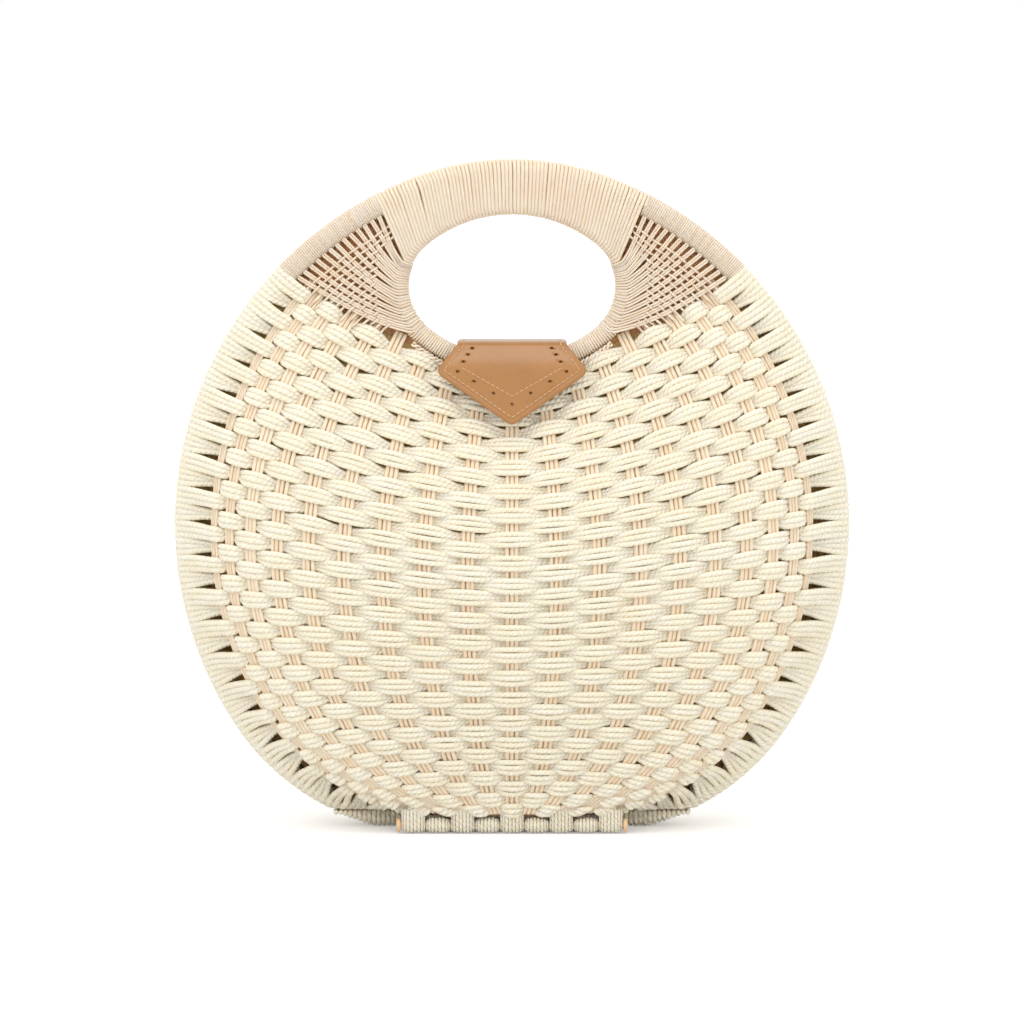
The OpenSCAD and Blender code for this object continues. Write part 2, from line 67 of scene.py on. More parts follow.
sideCentre = onCircle(topCentre, bag["topRadius"] - bag["sideRadius"], gripDir)
lowCentre = onCircle(sideCentre, bag["sideRadius"] - bag["lowRadius"], -bag["lowAngle"])
circles = ((topCentre, bag["topRadius"]), (sideCentre, bag["sideRadius"]), (lowCentre, bag["lowRadius"]))
holeZ = bag["height"] - bag["gripHeight"] - bag["holeHeight"] / 2
endX = bag["holeWidth"] / 2 - bag["holeEndRadius"]
broadRadius = ((bag["holeHeight"] / 2) ** 2 + endX ** 2 - bag["holeEndRadius"] ** 2) / (
    bag["holeHeight"] - 2 * bag["holeEndRadius"])
broadOff = broadRadius - bag["holeHeight"] / 2
ovalTurn = math.degrees(math.atan2(broadOff, endX))
rowInset = 2 * bag["hoopRadius"]
weaveTop = holeZ - bag["holeHeight"] / 2 - 2 * bag["ovalRadius"] - bag["weaveGap"]
rimTop = sideCentre[1] + (bag["sideRadius"] - rowInset) * math.sin(math.radians(bag["creamEnd"]))


def blend(a, b, share):
    return a + (b - a) * share


def sideFoot(inset):
    return sideCentre[1] - (bag["sideRadius"] - inset) * math.sin(math.radians(bag["lowAngle"]))


def halfWidth(z, inset):
    z = np.asarray(z, float)
    top, side, low = (
        centre[0] + np.sqrt(np.maximum(0, (radius - inset) ** 2 - (z - centre[1]) ** 2))
        for centre, radius in circles)
    sideTop = topCentre[1] + (bag["topRadius"] - inset) * math.sin(math.radians(gripDir))
    return np.where(z > sideTop, top, np.where(z > sideFoot(inset), side, low))


def rimHeight(v):
    start, end = bag["rowsFrom"], bag["rowsTo"]
    low, high = math.sin(math.radians(start)), math.sin(math.radians(end))
    share = (np.sin(np.radians(blend(start, end, np.asarray(v, float)))) - low) / (high - low)
    return blend(bag["footHeight"], rimTop, share)


# u runs -1 to 1 across the woven face and v 0 to 1 up it
def facePoint(u, v):
    u, v = np.broadcast_arrays(np.asarray(u, float), np.asarray(v, float))
    edge, belly = bag["edgeDepth"], bag["bellyDepth"]
    rim = rimHeight(v)
    centre = blend(bag["footHeight"], weaveTop, v)
    fullness = bag["fullness"] + bag["footFullness"] * np.clip(1 - v, 0, 2) ** 4
    across = np.sqrt(np.maximum(0, 1 - np.abs(u) ** fullness))
    low = (bag["baseDepth"] - edge) / (belly - edge)
    depth = np.where(v > 0.5, np.cos(np.pi * (v - 0.5)), blend(low, 1, np.cos(np.pi * (0.5 - v))))
    return np.stack([
        u * halfWidth(rim, rowInset),
        -edge - (belly - edge) * across * depth,
        blend(centre, rim, np.abs(u) ** (bag["rowBend"] - bag["rowFlatter"] * v))], -1)


def unit(a):
    return a / np.maximum(np.linalg.norm(a, axis=-1, keepdims=True), 1e-9)


def faceFrame(u, v):
    step = 0.02
    du = facePoint(np.minimum(1, u + step), v) - facePoint(np.maximum(-1, u - step), v)
    dv = facePoint(u, v + step) - facePoint(u, v - step)
    return facePoint(u, v), unit(du), dv / (2 * step), unit(np.cross(du, dv))


def runningLength(points):
    return np.concatenate([[0], np.cumsum(np.linalg.norm(np.diff(points, axis=0), axis=1))])


def ovalPoint(degrees, off):
    a = np.asarray(degrees, float)
    end = onCircle((endX, holeZ), bag["holeEndRadius"] + off, a)
    low = onCircle((0, holeZ + broadOff), broadRadius + off, a)
    high = onCircle((0, holeZ - broadOff), broadRadius + off, a)
    a = a[..., None]
    return np.where(np.abs(a) < ovalTurn, end, np.where(a > 0, high, low))


def normalsOf(angles):
    a = np.radians(angles)
    return np.stack([np.cos(a), np.sin(a)], -1)


# A track along a hoop: points and normals by angle and by length, the left side mirrored
def makeTrack(angles, rightPoint):
    points = rightPoint(np.where(angles > 90, 180 - angles, angles))
    points[:, 0] *= np.where(angles > 90, -1, 1)
    return {"point": points, "normal": normalsOf(angles), "angle": angles,
            "length": runningLength(points)}


def along(length, lengths, points):
    return np.stack([np.interp(length, lengths, points[:, k]) for k in (0, 1)], -1)


def trackAt(track, length):
    point, normal = (along(length, track["length"], track[key]) for key in ("point", "normal"))
    return point, unit(normal)


def lengthAt(track, degrees):
    return float(np.interp(degrees, track["angle"], track["length"]))


def hoopPoint(right):
    top, side, low = (onCircle(centre, radius - bag["hoopRadius"], right) for centre, radius in circles)
    r = right[:, None]
    return np.where(r > gripDir, top, np.where(r > -bag["lowAngle"], side, low))


hoopTrack = makeTrack(np.arange(-70, 250.01, 0.25), hoopPoint)
ovalTrack = makeTrack(np.arange(-90, 270.01, 0.5), lambda right: ovalPoint(right, bag["ovalRadius"]))


def lifted(flat, level):
    return np.stack([flat[..., 0], np.broadcast_to(level, flat.shape[:-1]), flat[..., 1]], -1)


# Points round a hoop: 90 degrees is its front, 0 its outer side
def roundTube(point, normal, radius, degrees):
    a = np.radians(degrees)
    return lifted(point + normal * (radius * np.cos(a))[..., None], -bag["hoopPlane"] - radius * np.sin(a))


def turnAt(track, length, radius, degrees):
    point, normal = trackAt(track, length)
    return roundTube(point[None], normal[None], radius, degrees)


def addObject(name, data):
    obj = bpy.data.objects.new(name, data)
    bpy.context.scene.collection.objects.link(obj)
    return obj


def place(name, mesh, body, slotName, material, replaced=()):
    obj = addObject(name, mesh)
    obj.data.materials.clear()
    obj.data.materials.append(material)
    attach(obj, body)
    if replaced:
        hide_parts(*replaced)
    return obj


def strandMesh(name, paths, radius, cyclic=False, sides=6, tones=None, mirrorY=False, widths=None):
    curve = bpy.data.curves.new(name, "CURVE")
    curve.dimensions = "3D"
    curve.bevel_depth = radius * mm
    curve.bevel_resolution = (sides - 4) // 2
    curve.use_fill_caps = not cyclic
    flip = np.array([1, -1 if mirrorY else 1, 1])
    for number, path in enumerate(paths):
        spline = curve.splines.new("POLY")
        spline.points.add(len(path) - 1)
        spline.use_cyclic_u = cyclic
        co = np.ones((len(path), 4))
        co[:, :3] = path * flip * mm
        spline.points.foreach_set("co", co.ravel())
        if widths is not None:
            spline.points.foreach_set("radius", np.broadcast_to(widths[number], len(path)).astype(float))
    holder = addObject(name, curve)
    mesh = bpy.data.meshes.new_from_object(holder)
    bpy.data.objects.remove(holder)
    bpy.data.curves.remove(curve)
    mesh.name = name
    tones = rng.random(len(paths)) if tones is None else np.full(len(paths), tones)
    capPoints = 0 if cyclic else 2 * sides * len(paths)
    capCorners = 0 if cyclic else 2 * (sides - 2) * 3 * len(paths)
    uvs = np.zeros(len(mesh.loops) * 2)
    layer = mesh.uv_layers[0]
    layer.data.foreach_get("uv", uvs)
    uvs = uvs.reshape(-1, 2)
    tone = np.zeros(len(mesh.vertices))
    point, corner = capPoints, capCorners
    for number, path in enumerate(paths):
        closed = np.vstack([path, path[:1]]) if cyclic else path
        rings = len(closed) - 1
        corners = rings * sides * 4
        along = uvs[corner:corner + corners, 0] * rings
        uvs[corner:corner + corners, 0] = np.interp(along, np.arange(rings + 1), runningLength(closed)) / 10
        tone[point:point + len(path) * sides] = tones[number]
        point += len(path) * sides
        corner += corners
    if corner != len(mesh.loops) or point != len(mesh.vertices):
        raise RuntimeError(f"{name}: the strands' mesh isn't laid out as expected")
    layer.data.foreach_set("uv", uvs.ravel())
    mesh.attributes.new("tone", "FLOAT", "POINT").data.foreach_set("value", tone)
    return mesh


def placeStrands(name, paths, radius, body, finish, replaced=(), **settings):
    place(name, strandMesh(name, paths, radius, **settings), body, *finish, replaced)


# Both shells are made by the same code, the back one mirrored
def shellStrands(shell, part, paths, radius, finish, replaced=(), **settings):
    placeStrands(f"{shell}_{part}", paths, radius, f"{shell}_shell", finish,
                 [f"{shell}_{node}" for node in replaced], mirrorY=shell == "back", **settings)


def colour(red, green, blue):
    def linear(c):
        c /= 255
        return c / 12.92 if c <= 0.04045 else ((c + 0.055) / 1.055) ** 2.4
    return (linear(red), linear(green), linear(blue), 1)


class Nodes:
    def __init__(self, owner, shader):
        owner.use_nodes = True
        self.tree = owner.node_tree
        self.shader = self.tree.nodes[shader]

    def add(self, kind, inputs=None, **settings):
        node = self.tree.nodes.new("ShaderNode" + kind)
        for key, value in settings.items():
            setattr(node, key, value)
        for key, value in (inputs or {}).items():
            if hasattr(value, "is_output"):
                self.tree.links.new(value, node.inputs[key])
            else:
                node.inputs[key].default_value = value
        return node

    def math(self, operation, a, b=0.0, clamp=False):
        return self.add("Math", {0: a, 1: b}, operation=operation, use_clamp=clamp).outputs[0]

    def times(self, a, b, clamp=False):
        return self.math("MULTIPLY", a, b, clamp)

    def plus(self, a, b):
        return self.math("ADD", a, b)

    def above(self, a, b):
        return self.math("SUBTRACT", a, b, True)

    def mix(self, share, a, b):
        return self.add("Mix", {0: share, 6: a, 7: b}, data_type="RGBA").outputs[2]

    def noise(self, vector, scale, detail=3.0, rough=0.5):
        return self.add("TexNoise", {"Vector": vector, "Scale": scale, "Detail": detail,
                                     "Roughness": rough}).outputs["Fac"]

    def link(self, out, socket):
        self.tree.links.new(out, self.shader.inputs[socket])

    def surface(self, values):
        for socket, value in values.items():
            self.shader.inputs[socket].default_value = value

    def bump(self, height, strength, distance):
        node = self.add("Bump", {"Strength": strength, "Distance": distance, "Height": height})
        self.link(node.outputs["Normal"], "Normal")


class Material(Nodes):
    def __init__(self, name):
        self.material = bpy.data.materials.new(name)
        super().__init__(self.material, "Principled BSDF")


def strandMaterial(name, look):
    n = Material(name)
    coord = n.add("TexCoord").outputs
    uv = n.add("SeparateXYZ", {0: coord["UV"]}).outputs
    tone = n.add("Attribute", attribute_name="tone").outputs["Fac"]
    # Ridges that run round the strand as its plies do
    phase = n.plus(n.times(uv[0], look["pliesPerCm"] * 2 * math.pi),
                   n.times(uv[1], look["plies"] * 2 * math.pi))
    phase = n.plus(phase, n.times(tone, 40.0))
    ridge = n.plus(n.times(n.math("SINE", phase), 0.5), 0.5)
    scaled = n.add("Mapping", {"Vector": coord["UV"], "Scale": look["grainScale"]}).outputs[0]
    aside = n.add("CombineXYZ", {2: n.times(tone, 37.0)}).outputs[0]
    shifted = n.add("VectorMath", {0: scaled, 1: aside}, operation="ADD").outputs[0]
    grain = n.noise(shifted, 1.0, 4.0, 0.6)
    patches = n.noise(coord["Object"], look["patchScale"], 2.0)
    base = n.mix(tone, look["light"], look["shade"])
    base = n.mix(n.times(n.above(patches, 0.42), look["patchShare"], True), base, look["patch"])
    base = n.mix(n.times(n.above(0.55, grain), look["grainShare"], True), base, look["line"])
    # Painted shade: the valleys between the plies are darkened towards the line colour, which elsewhere
    # draws the real grain
    plyValleyShade = n.times(n.math("POWER", n.math("SUBTRACT", 1.0, ridge), 3.0), look["plyShadeShare"])
    n.link(n.mix(plyValleyShade, base, look["line"]), "Base Color")
    n.surface({"Roughness": look["roughness"], "Specular IOR Level": look["specular"],
               "Subsurface Weight": look["soak"], "Subsurface Radius": (1.0, 0.88, 0.7),
               "Subsurface Scale": 0.003})
    height = n.plus(n.times(ridge, look["ridgeHeight"]), n.times(grain, look["grainHeight"]))
    n.bump(height, 1.0, look["bump"])
    return n.material


paperCord = strandMaterial("paperCord", {
    "light": colour(255, 249, 233), "shade": colour(254, 245, 223), "patch": colour(250, 235, 202),
    "line": colour(243, 221, 176), "plies": 2.0, "pliesPerCm": 4.2, "plyShadeShare": 0.45,
    "grainScale": (3.0, 3.0, 1.0), "grainShare": 0.9, "patchScale": 90.0, "patchShare": 1.0,
    "roughness": 0.75, "specular": 0.2, "soak": 0.3, "ridgeHeight": 1.0, "grainHeight": 0.5,
    "bump": 0.00045})
caneLook = {
    "plies": 0.0, "pliesPerCm": 0.0, "plyShadeShare": 0.0, "grainScale": (1.2, 9.0, 1.0),
    "patchScale": 60.0, "roughness": 0.5, "specular": 0.3, "soak": 0.45, "ridgeHeight": 0.0,
    "grainHeight": 0.6, "bump": 0.0002}
fineCane = strandMaterial("fineCane", {
    **caneLook, "light": colour(247, 230, 208), "shade": colour(240, 217, 190),
    "patch": colour(232, 200, 166), "line": colour(216, 172, 128), "grainShare": 1.2, "patchShare": 0.9})
stakeCane = strandMaterial("stakeCane", {
    **caneLook, "light": colour(252, 232, 206), "shade": colour(246, 220, 190),
    "patch": colour(240, 208, 172), "line": colour(230, 190, 148), "grainShare": 1.0, "patchShare": 0.8})


def grainMaterial(name, scale, detail, dark, light, surface, bump):
    n = Material(name)
    stretched = n.add("Mapping", {"Vector": n.add("TexCoord").outputs["Object"], "Scale": scale}).outputs[0]
    grain = n.noise(stretched, 1.0, detail)
    n.link(n.mix(grain, dark, light), "Base Color")
    n.surface(surface)
    n.bump(grain, *bump)
    return n.material


def leatherMaterial():
    n = Material("tanLeather")
    at = n.add("TexCoord").outputs["Object"]
    cloud = n.noise(at, 55.0, 4.0)
    pores = n.add("TexVoronoi", {"Vector": at, "Scale": 1500.0}).outputs["Distance"]
    wrinkle = n.noise(at, 420.0, 5.0, 0.6)
    base = n.mix(cloud, colour(157, 105, 47), colour(175, 121, 59))
    n.link(n.mix(n.times(n.above(0.5, wrinkle), 0.9), base, colour(140, 90, 48)), "Base Color")
    n.surface({"Roughness": 0.34, "Coat Weight": 0.35, "Coat Roughness": 0.22, "Specular IOR Level": 0.5})
    n.bump(n.plus(n.times(pores, 0.35), wrinkle), 0.5, 0.00025)
    return n.material


def clothMaterial(name, light, middle, dark):
    n = Material(name)
    coord = n.add("TexCoord").outputs
    uv = n.add("SeparateXYZ", {0: coord["UV"]}).outputs
    threadsPerCm = 14
    warp, weft = (n.math("SINE", n.times(uv[k], 2 * math.pi * threadsPerCm)) for k in (0, 1))
    crossing = n.times(warp, weft)
    base = n.mix(n.noise(coord["Object"], 300.0, 3.0), middle, light)
    n.link(n.mix(n.times(n.plus(crossing, 1.0), 0.25), base, dark), "Base Color")
    n.surface({"Roughness": 0.9, "Specular IOR Level": 0.15, "Subsurface Weight": 0.4,
               "Subsurface Radius": (1.0, 0.8, 0.6), "Subsurface Scale": 0.006})
    n.bump(crossing, 0.5, 0.0003)
    return n.material


def threadMaterial():
    n = Material("stitchThread")
    uv = n.add("SeparateXYZ", {0: n.add("TexCoord").outputs["UV"]}).outputs
    phase = n.plus(n.times(uv[0], 120.0), n.times(uv[1], 12.566))
    twist = n.plus(n.times(n.math("SINE", phase), 0.5), 0.5)
    n.link(n.mix(twist, colour(196, 150, 100), colour(226, 186, 140)), "Base Color")
    n.surface({"Roughness": 0.6})
    n.bump(twist, 0.5, 0.0001)
    return n.material


plainCane = grainMaterial("plainCane", (300.0, 300.0, 60.0), 4.0, colour(214, 176, 130),
                          colour(238, 208, 170), {"Roughness": 0.5}, (0.6, 0.0002))
magnetSteel = grainMaterial("magnetSteel", (2000.0, 200.0, 200.0), 3.0, colour(170, 172, 176),
                            colour(206, 208, 210), {"Metallic": 1.0, "Roughness": 0.35}, (0.3, 0.00005))
tanLeather = leatherMaterial()
liningCloth = clothMaterial(
    "liningCloth", colour(248, 208, 144), colour(240, 194, 124), colour(220, 168, 94))
# The gore is a cloth that backs the lattice. Its colours are darker and redder than the lining's, and that
# difference is painted shade for the hollow seen through the lattice
goreClothPaintedShade = clothMaterial(
    "goreClothPaintedShade", colour(244, 186, 136), colour(234, 170, 118), colour(208, 138, 88))
stitchThread = threadMaterial()
cordFinish, caneFinish = ("paper_cord", paperCord), ("fine_cane", fineCane)
print("materials made")

studio = {
    "aim": (0.0, -0.020, 0.1432), "distance": 2.6, "elevation": 5.0, "focal": 205.0, "sensor": 36,
    "worldLight": 1.08, "floorSize": 12, "floorColour": 0.8, "floorGlow": 0.3,
    "lamps": {"key": {"power": 3.6, "size": 0.9, "at": (-0.75, -1.25, 1.15), "aim": (0, 0, 0.15)},
              "fill": {"power": 1.5, "size": 1.2, "at": (1.1, -1.1, 0.5), "aim": (0, 0, 0.15)},
              "top": {"power": 2.7, "size": 0.5, "at": (0.0, -0.48, 1.5), "aim": (0, 0, 0.2)}},
}


def makeCamera():
    camera = bpy.data.cameras.new("camera")
    camera.lens = studio["focal"]
    camera.sensor_width = studio["sensor"]
    camera.clip_end = 50
    obj = addObject("camera", camera)
    tilt = math.radians(studio["elevation"])
    away = Vector((0, -math.cos(tilt), math.sin(tilt)))
    obj.location = Vector(studio["aim"]) + away * studio["distance"]
    obj.rotation_euler = (math.radians(90) - tilt, 0, 0)
    bpy.context.scene.camera = obj


def makeLamp(name, lamp):
    light = bpy.data.lights.new(name, "AREA")
    light.energy = lamp["power"]
    light.size = lamp["size"]
    obj = addObject(name, light)
    obj.location = lamp["at"]
    way = Vector(lamp["aim"]) - Vector(lamp["at"])
    obj.rotation_euler = way.to_track_quat("-Z", "Y").to_euler()


# The floor and the backdrop are white where they are seen straight, by mirror or through glass
def seenDirectly(n):
    path = n.add("LightPath").outputs
    seen = path["Is Camera Ray"]
    for name in ("Is Glossy Ray", "Is Transmission Ray"):
        seen = n.math("MAXIMUM", seen, path[name])
    return seen


def makeStudio():
    scene = bpy.context.scene
    scene.view_settings.view_transform = "Standard"
    world = bpy.data.worlds.new("studio")
    scene.world = world
    n = Nodes(world, "Background")
    n.surface({"Color": (1, 1, 1, 1)})
    n.link(n.add("Mix", {0: seenDirectly(n), 2: studio["worldLight"], 3: 1.0}).outputs[0], "Strength")
    for name, lamp in studio["lamps"].items():
        makeLamp(name, lamp)
    mesh = bpy.data.meshes.new("floor")
    bm = bmesh.new()
    bmesh.ops.create_grid(bm, x_segments=1, y_segments=1, size=studio["floorSize"])
    bm.to_mesh(mesh)
    bm.free()
    floor = addObject("floor", mesh)
    n = Material("floorPaper")
    n.surface({"Base Color": (*[studio["floorColour"]] * 3, 1), "Roughness": 0.9,
               "Specular IOR Level": 0.0, "Emission Color": (1, 1, 1, 1)})
    n.link(n.times(seenDirectly(n), studio["floorGlow"]), "Emission Strength")
    floor.data.materials.append(n.material)


makeCamera()
makeStudio()
print("studio made")

weave = {
    "stakes": 9, "stakeStep": 8, "rows": 38, "samples": 8, "cordRadius": 1.3, "depth": -1.9, "lift": 1.9,
    "sharpness": 0.75, "middleRise": 0.3, "waver": 0.34, "strandWaver": 0.12, "footLift": 0.4,
    "rowSeeds": (0.25, 1.3, 5), "strandSeeds": (0.6, 2.6, 3),
    # Gaps between a row's strands, in the middle of the face and at the rim
    "over": (2.52, 2.4), "between": (1.9, 2.15), "under": (1.5, 1.35), "edgeTight": 0.14,
    "rimFrom": 3, "rimOver": 5, "rimDeeper": 0.7, "rimLane": 0.8, "rimSwell": 0.2, "rimPower": 3.5,
    "cornerFrom": 0.5, "cornerDensity": 0.85,
    # How a strand goes round the hoop
    "endSwell": 1.22, "endFrom": 66, "endTo": -128, "endPoints": 9, "reachPoints": 4, "endPull": 0.7,
    "fillerSunk": 0.35, "fillerFrom": 158, "fillerTo": -196, "fillerPoints": 13,
}
canes = {"radius": 1.0, "spacing": 2.0, "share": 0.15, "narrowing": 0.56, "points": 44, "foot": 0.004,
         "top": 1.02, "waver": 0.12, "waves": 3, "seeds": (2, 9, 1), "footLift": 0.3}


def stakeU(k):
    return np.sin(np.radians(weave["stakeStep"] * np.asarray(k, float)))


def smooth(x):
    x = np.clip(x, 0, 1)
    return x * x * (3 - 2 * x)


def rimTurn(v, side, degrees, radius):
    z = float(rimHeight(v))
    edge = np.array([float(halfWidth(z, rowInset)), z])
    normal = unit(edge - (sideCentre if z > sideFoot(rowInset) else lowCentre))
    points = roundTube((edge + normal * bag["hoopRadius"])[None], normal[None], radius, degrees)
    # The foot of a hoop stands on the base
    points[:, 2] = np.maximum(points[:, 2], bag["footHeight"] + weave["cordRadius"])
    return points * np.array([side, 1, 1])


# The rows keep an even pitch along the rim, and come closer at its foot
def spreadRim():
    v = np.linspace(0, 1, 500)
    z = rimHeight(v)
    step = np.diff(runningLength(np.stack([halfWidth(z, rowInset), z], -1)))
    corner = sideCentre[1] - bag["sideRadius"] * weave["cornerFrom"]
    share = np.concatenate([[0], np.cumsum(step * np.where(z[1:] < corner, weave["cornerDensity"], 1))])
    return share / share[-1], v


rimShares = spreadRim()


def rimShare(v):
    return np.interp(v, *rimShares)


def hermite(a, aWay, b, bWay, count):
    t = np.linspace(0, 1, count + 2)[1:-1, None]
    span = np.linalg.norm(b - a)
    return ((2 * t ** 3 - 3 * t ** 2 + 1) * a + (t ** 3 - 2 * t ** 2 + t) * aWay * span
            + (3 * t ** 2 - 2 * t ** 3) * b + (t ** 3 - t ** 2) * bWay * span)


def waverSeeds(low, high, phase):
    return rng.uniform(low, high, 6) * np.array([1, phase] * 3)


def waver(t, scale, seeds):
    return scale * sum(np.sin(seeds[2 * i] * t + seeds[2 * i + 1]) for i in range(3)) / 1.8


def rowCords(row):
    last = weave["stakes"]
    t = np.linspace(-last, last, 2 * last * weave["samples"] + 1)
    u = stakeU(t)
    middle = (row + 0.5) / weave["rows"]
    middle = blend(middle, rimShare(middle), np.abs(u) ** weave["rimPower"])
    wave = np.cos(np.pi * t) * (1 if row % 2 == 0 else -1)
    wave = np.sign(wave) * np.abs(wave) ** weave["sharpness"]
    over, under = np.maximum(wave, 0), np.maximum(-wave, 0)
    nearRim = smooth((np.abs(t) - weave["rimFrom"]) / weave["rimOver"])
    gap, wider, tighter = (blend(*weave[key], nearRim) for key in ("between", "over", "under"))
    gap = gap + (wider - gap) * over + (tighter - gap) * under
    gap = gap * (1 - weave["edgeTight"] * smooth(np.abs(t) - last + 1))
    pitch = np.linalg.norm(faceFrame(u, middle)[2], axis=-1)
    seeds = waverSeeds(*weave["rowSeeds"])
    lane = waver(t, weave["waver"], seeds) + weave["rimLane"] * under * nearRim ** 3
    swell = 1 + weave["rimSwell"] * nearRim * (1 - 0.5 * under)
    fuller = smooth(np.arange(weave["reachPoints"] + weave["endPoints"]) / weave["reachPoints"])
    radius = bag["hoopRadius"] - weave["cordRadius"] * weave["endSwell"]
    turn = np.linspace(weave["endFrom"], weave["endTo"], weave["endPoints"])
    cords = []
    for cord in range(3):
        seeds = waverSeeds(*weave["strandSeeds"])
        shift = (cord - 1) * gap + lane + waver(t, weave["strandWaver"], seeds)
        depth = weave["depth"] + weave["lift"] * wave + waver(t, weave["strandWaver"], seeds[::-1])
        depth = depth + (weave["middleRise"] * over - weave["rimDeeper"] * under * nearRim) * (cord == 1)
        point, _, _, normal = faceFrame(u, middle + shift / pitch)
        path = point + normal * depth[:, None]
        path[:, 2] = np.maximum(path[:, 2], bag["footHeight"] + weave["footLift"])
        rim = float(rimShare((3 * row + cord + 0.5) / (3 * weave["rows"])))
        parts, widths = [path], [swell]
        for side in (-1, 1):
            wrap = rimTurn(rim, side, turn, radius)
            inner, before = (path[0], path[1]) if side < 0 else (path[-1], path[-2])
            reach = hermite(inner, unit(inner - before) * weave["endPull"],
                            wrap[0], unit(wrap[1] - wrap[0]), weave["reachPoints"])
            start = swell[0] if side < 0 else swell[-1]
            end, wide = np.vstack([reach, wrap]), blend(start, weave["endSwell"], fuller)
            parts = [end[::-1], *parts] if side < 0 else [*parts, end]
            widths = [wide[::-1], *widths] if side < 0 else [*widths, wide]
        cords.append((np.vstack(parts), np.concatenate(widths)))
    return cords


def rimFillers():
    radius = bag["hoopRadius"] - weave["cordRadius"] - weave["fillerSunk"]
    turn = np.linspace(weave["fillerFrom"], weave["fillerTo"], weave["fillerPoints"])
    count = 3 * weave["rows"]
    return [rimTurn(float(rimShare(k / count)), side, turn, radius)
            for k in range(count + 1) for side in (-1, 1)]


def stakeCanes():
    v = np.linspace(canes["foot"], canes["top"], canes["points"])
    paths, widths = [], []
    for k in range(-weave["stakes"], weave["stakes"] + 1):
        near = np.linalg.norm(facePoint(stakeU(k + 0.5), 0.5) - facePoint(stakeU(k - 0.5), 0.5))
        spacing = min(canes["spacing"], canes["share"] * near)
        point, across, _, normal = faceFrame(np.full(len(v), float(stakeU(k))), v)
        for cane in (-1, 0, 1):
            seeds = waverSeeds(*canes["seeds"])
            shift = cane * spacing + waver(v * canes["waves"], canes["waver"], seeds)
            path = point + normal * weave["depth"] + across * shift[:, None]
            path[:, 2] = np.maximum(path[:, 2], bag["footHeight"] + canes["footLift"])
            paths.append(path)
            widths.append(min(1.0, canes["narrowing"] * spacing / canes["radius"]))
    return paths, widths


def makeFace(shell):
    rows = [rowCords(row) for row in range(weave["rows"])]
    half = weave["rows"] // 2
    for part, chosen in (("lower", rows[:half]), ("upper", rows[half:])):
        paths, widths = zip(*[cord for row in chosen for cord in row])
        shellStrands(shell, f"cords_{part}", paths, weave["cordRadius"], cordFinish,
                     ("weave", "cord_binding"), widths=widths)
    shellStrands(shell, "rim_fillers", rimFillers(), weave["cordRadius"], cordFinish, ("cord_binding",))
    paths, widths = stakeCanes()
    shellStrands(shell, "stake_canes", paths, canes["radius"], ("fine_cane", stakeCane), ("stakes",),
                 widths=widths)


lining = {"depth": 6.4, "thickness": 0.7, "columns": 27, "rows": 23, "rowPower": 1.25,
          "edgeLevel": -3.6, "sideLevel": -6.4, "clear": 0.5, "sideReach": 0.5, "topReach": 0.9,
          "topTuck": 0.8, "footMiddle": 0.026, "footSide": 0.004, "footPower": 10,
          "topFrom": 0.7, "topOver": 0.25}


# Two grids that lie one behind the other, still open at their edges
def twoLayers(rows, cols, *layers):
    bm = bmesh.new()
    sheets = []
    for points in layers:
        made = bmesh.ops.create_grid(bm, x_segments=cols - 1, y_segments=rows - 1, size=1)
        for vert, point in zip(made["verts"], points.reshape(-1, 3) * mm):
            vert.co = point
        sheets.append(made["verts"])
    bm.verts.index_update()
    return bm, sheets


def smoothMesh(name, bm):
    bmesh.ops.recalc_face_normals(bm, faces=bm.faces)
    for face in bm.faces:
        face.smooth = True
    mesh = bpy.data.meshes.new(name)
    bm.to_mesh(mesh)
    bm.free()
    return mesh


def clothMesh(name, grid, thickness, mirrorY):
    grid = grid * np.array([1, -1 if mirrorY else 1, 1])
    rows, cols = grid.shape[:2]
    half = unit(np.cross(np.gradient(grid, axis=1), np.gradient(grid, axis=0))) * thickness / 2
    bm, _ = twoLayers(rows, cols, grid + half, grid - half)
    bmesh.ops.bridge_loops(bm, edges=[edge for edge in bm.edges if edge.is_boundary])
    layer = bm.loops.layers.uv.new("cloth")
    wide = np.linalg.norm(np.diff(grid, axis=1), axis=-1).sum(1).max()
    long = np.linalg.norm(np.diff(grid, axis=0), axis=-1).sum(0).max()
    for face in bm.faces:
        for loop in face.loops:
            r, c = divmod(loop.vert.index % (rows * cols), cols)
            loop[layer].uv = (c / (cols - 1) * wide / 10, r / (rows - 1) * long / 10)
    area = sum(face.calc_area() for face in bm.faces) / 2
    return smoothMesh(name, bm), (wide * mm, long * mm), area


def shellCloth(shell, part, grid, material, replaced=()):
    name = f"{shell}_{part}"
    mesh, flat, area = clothMesh(name, grid, lining["thickness"], shell == "back")
    cloth = place(name, mesh, f"{shell}_shell", "lining", material, replaced)


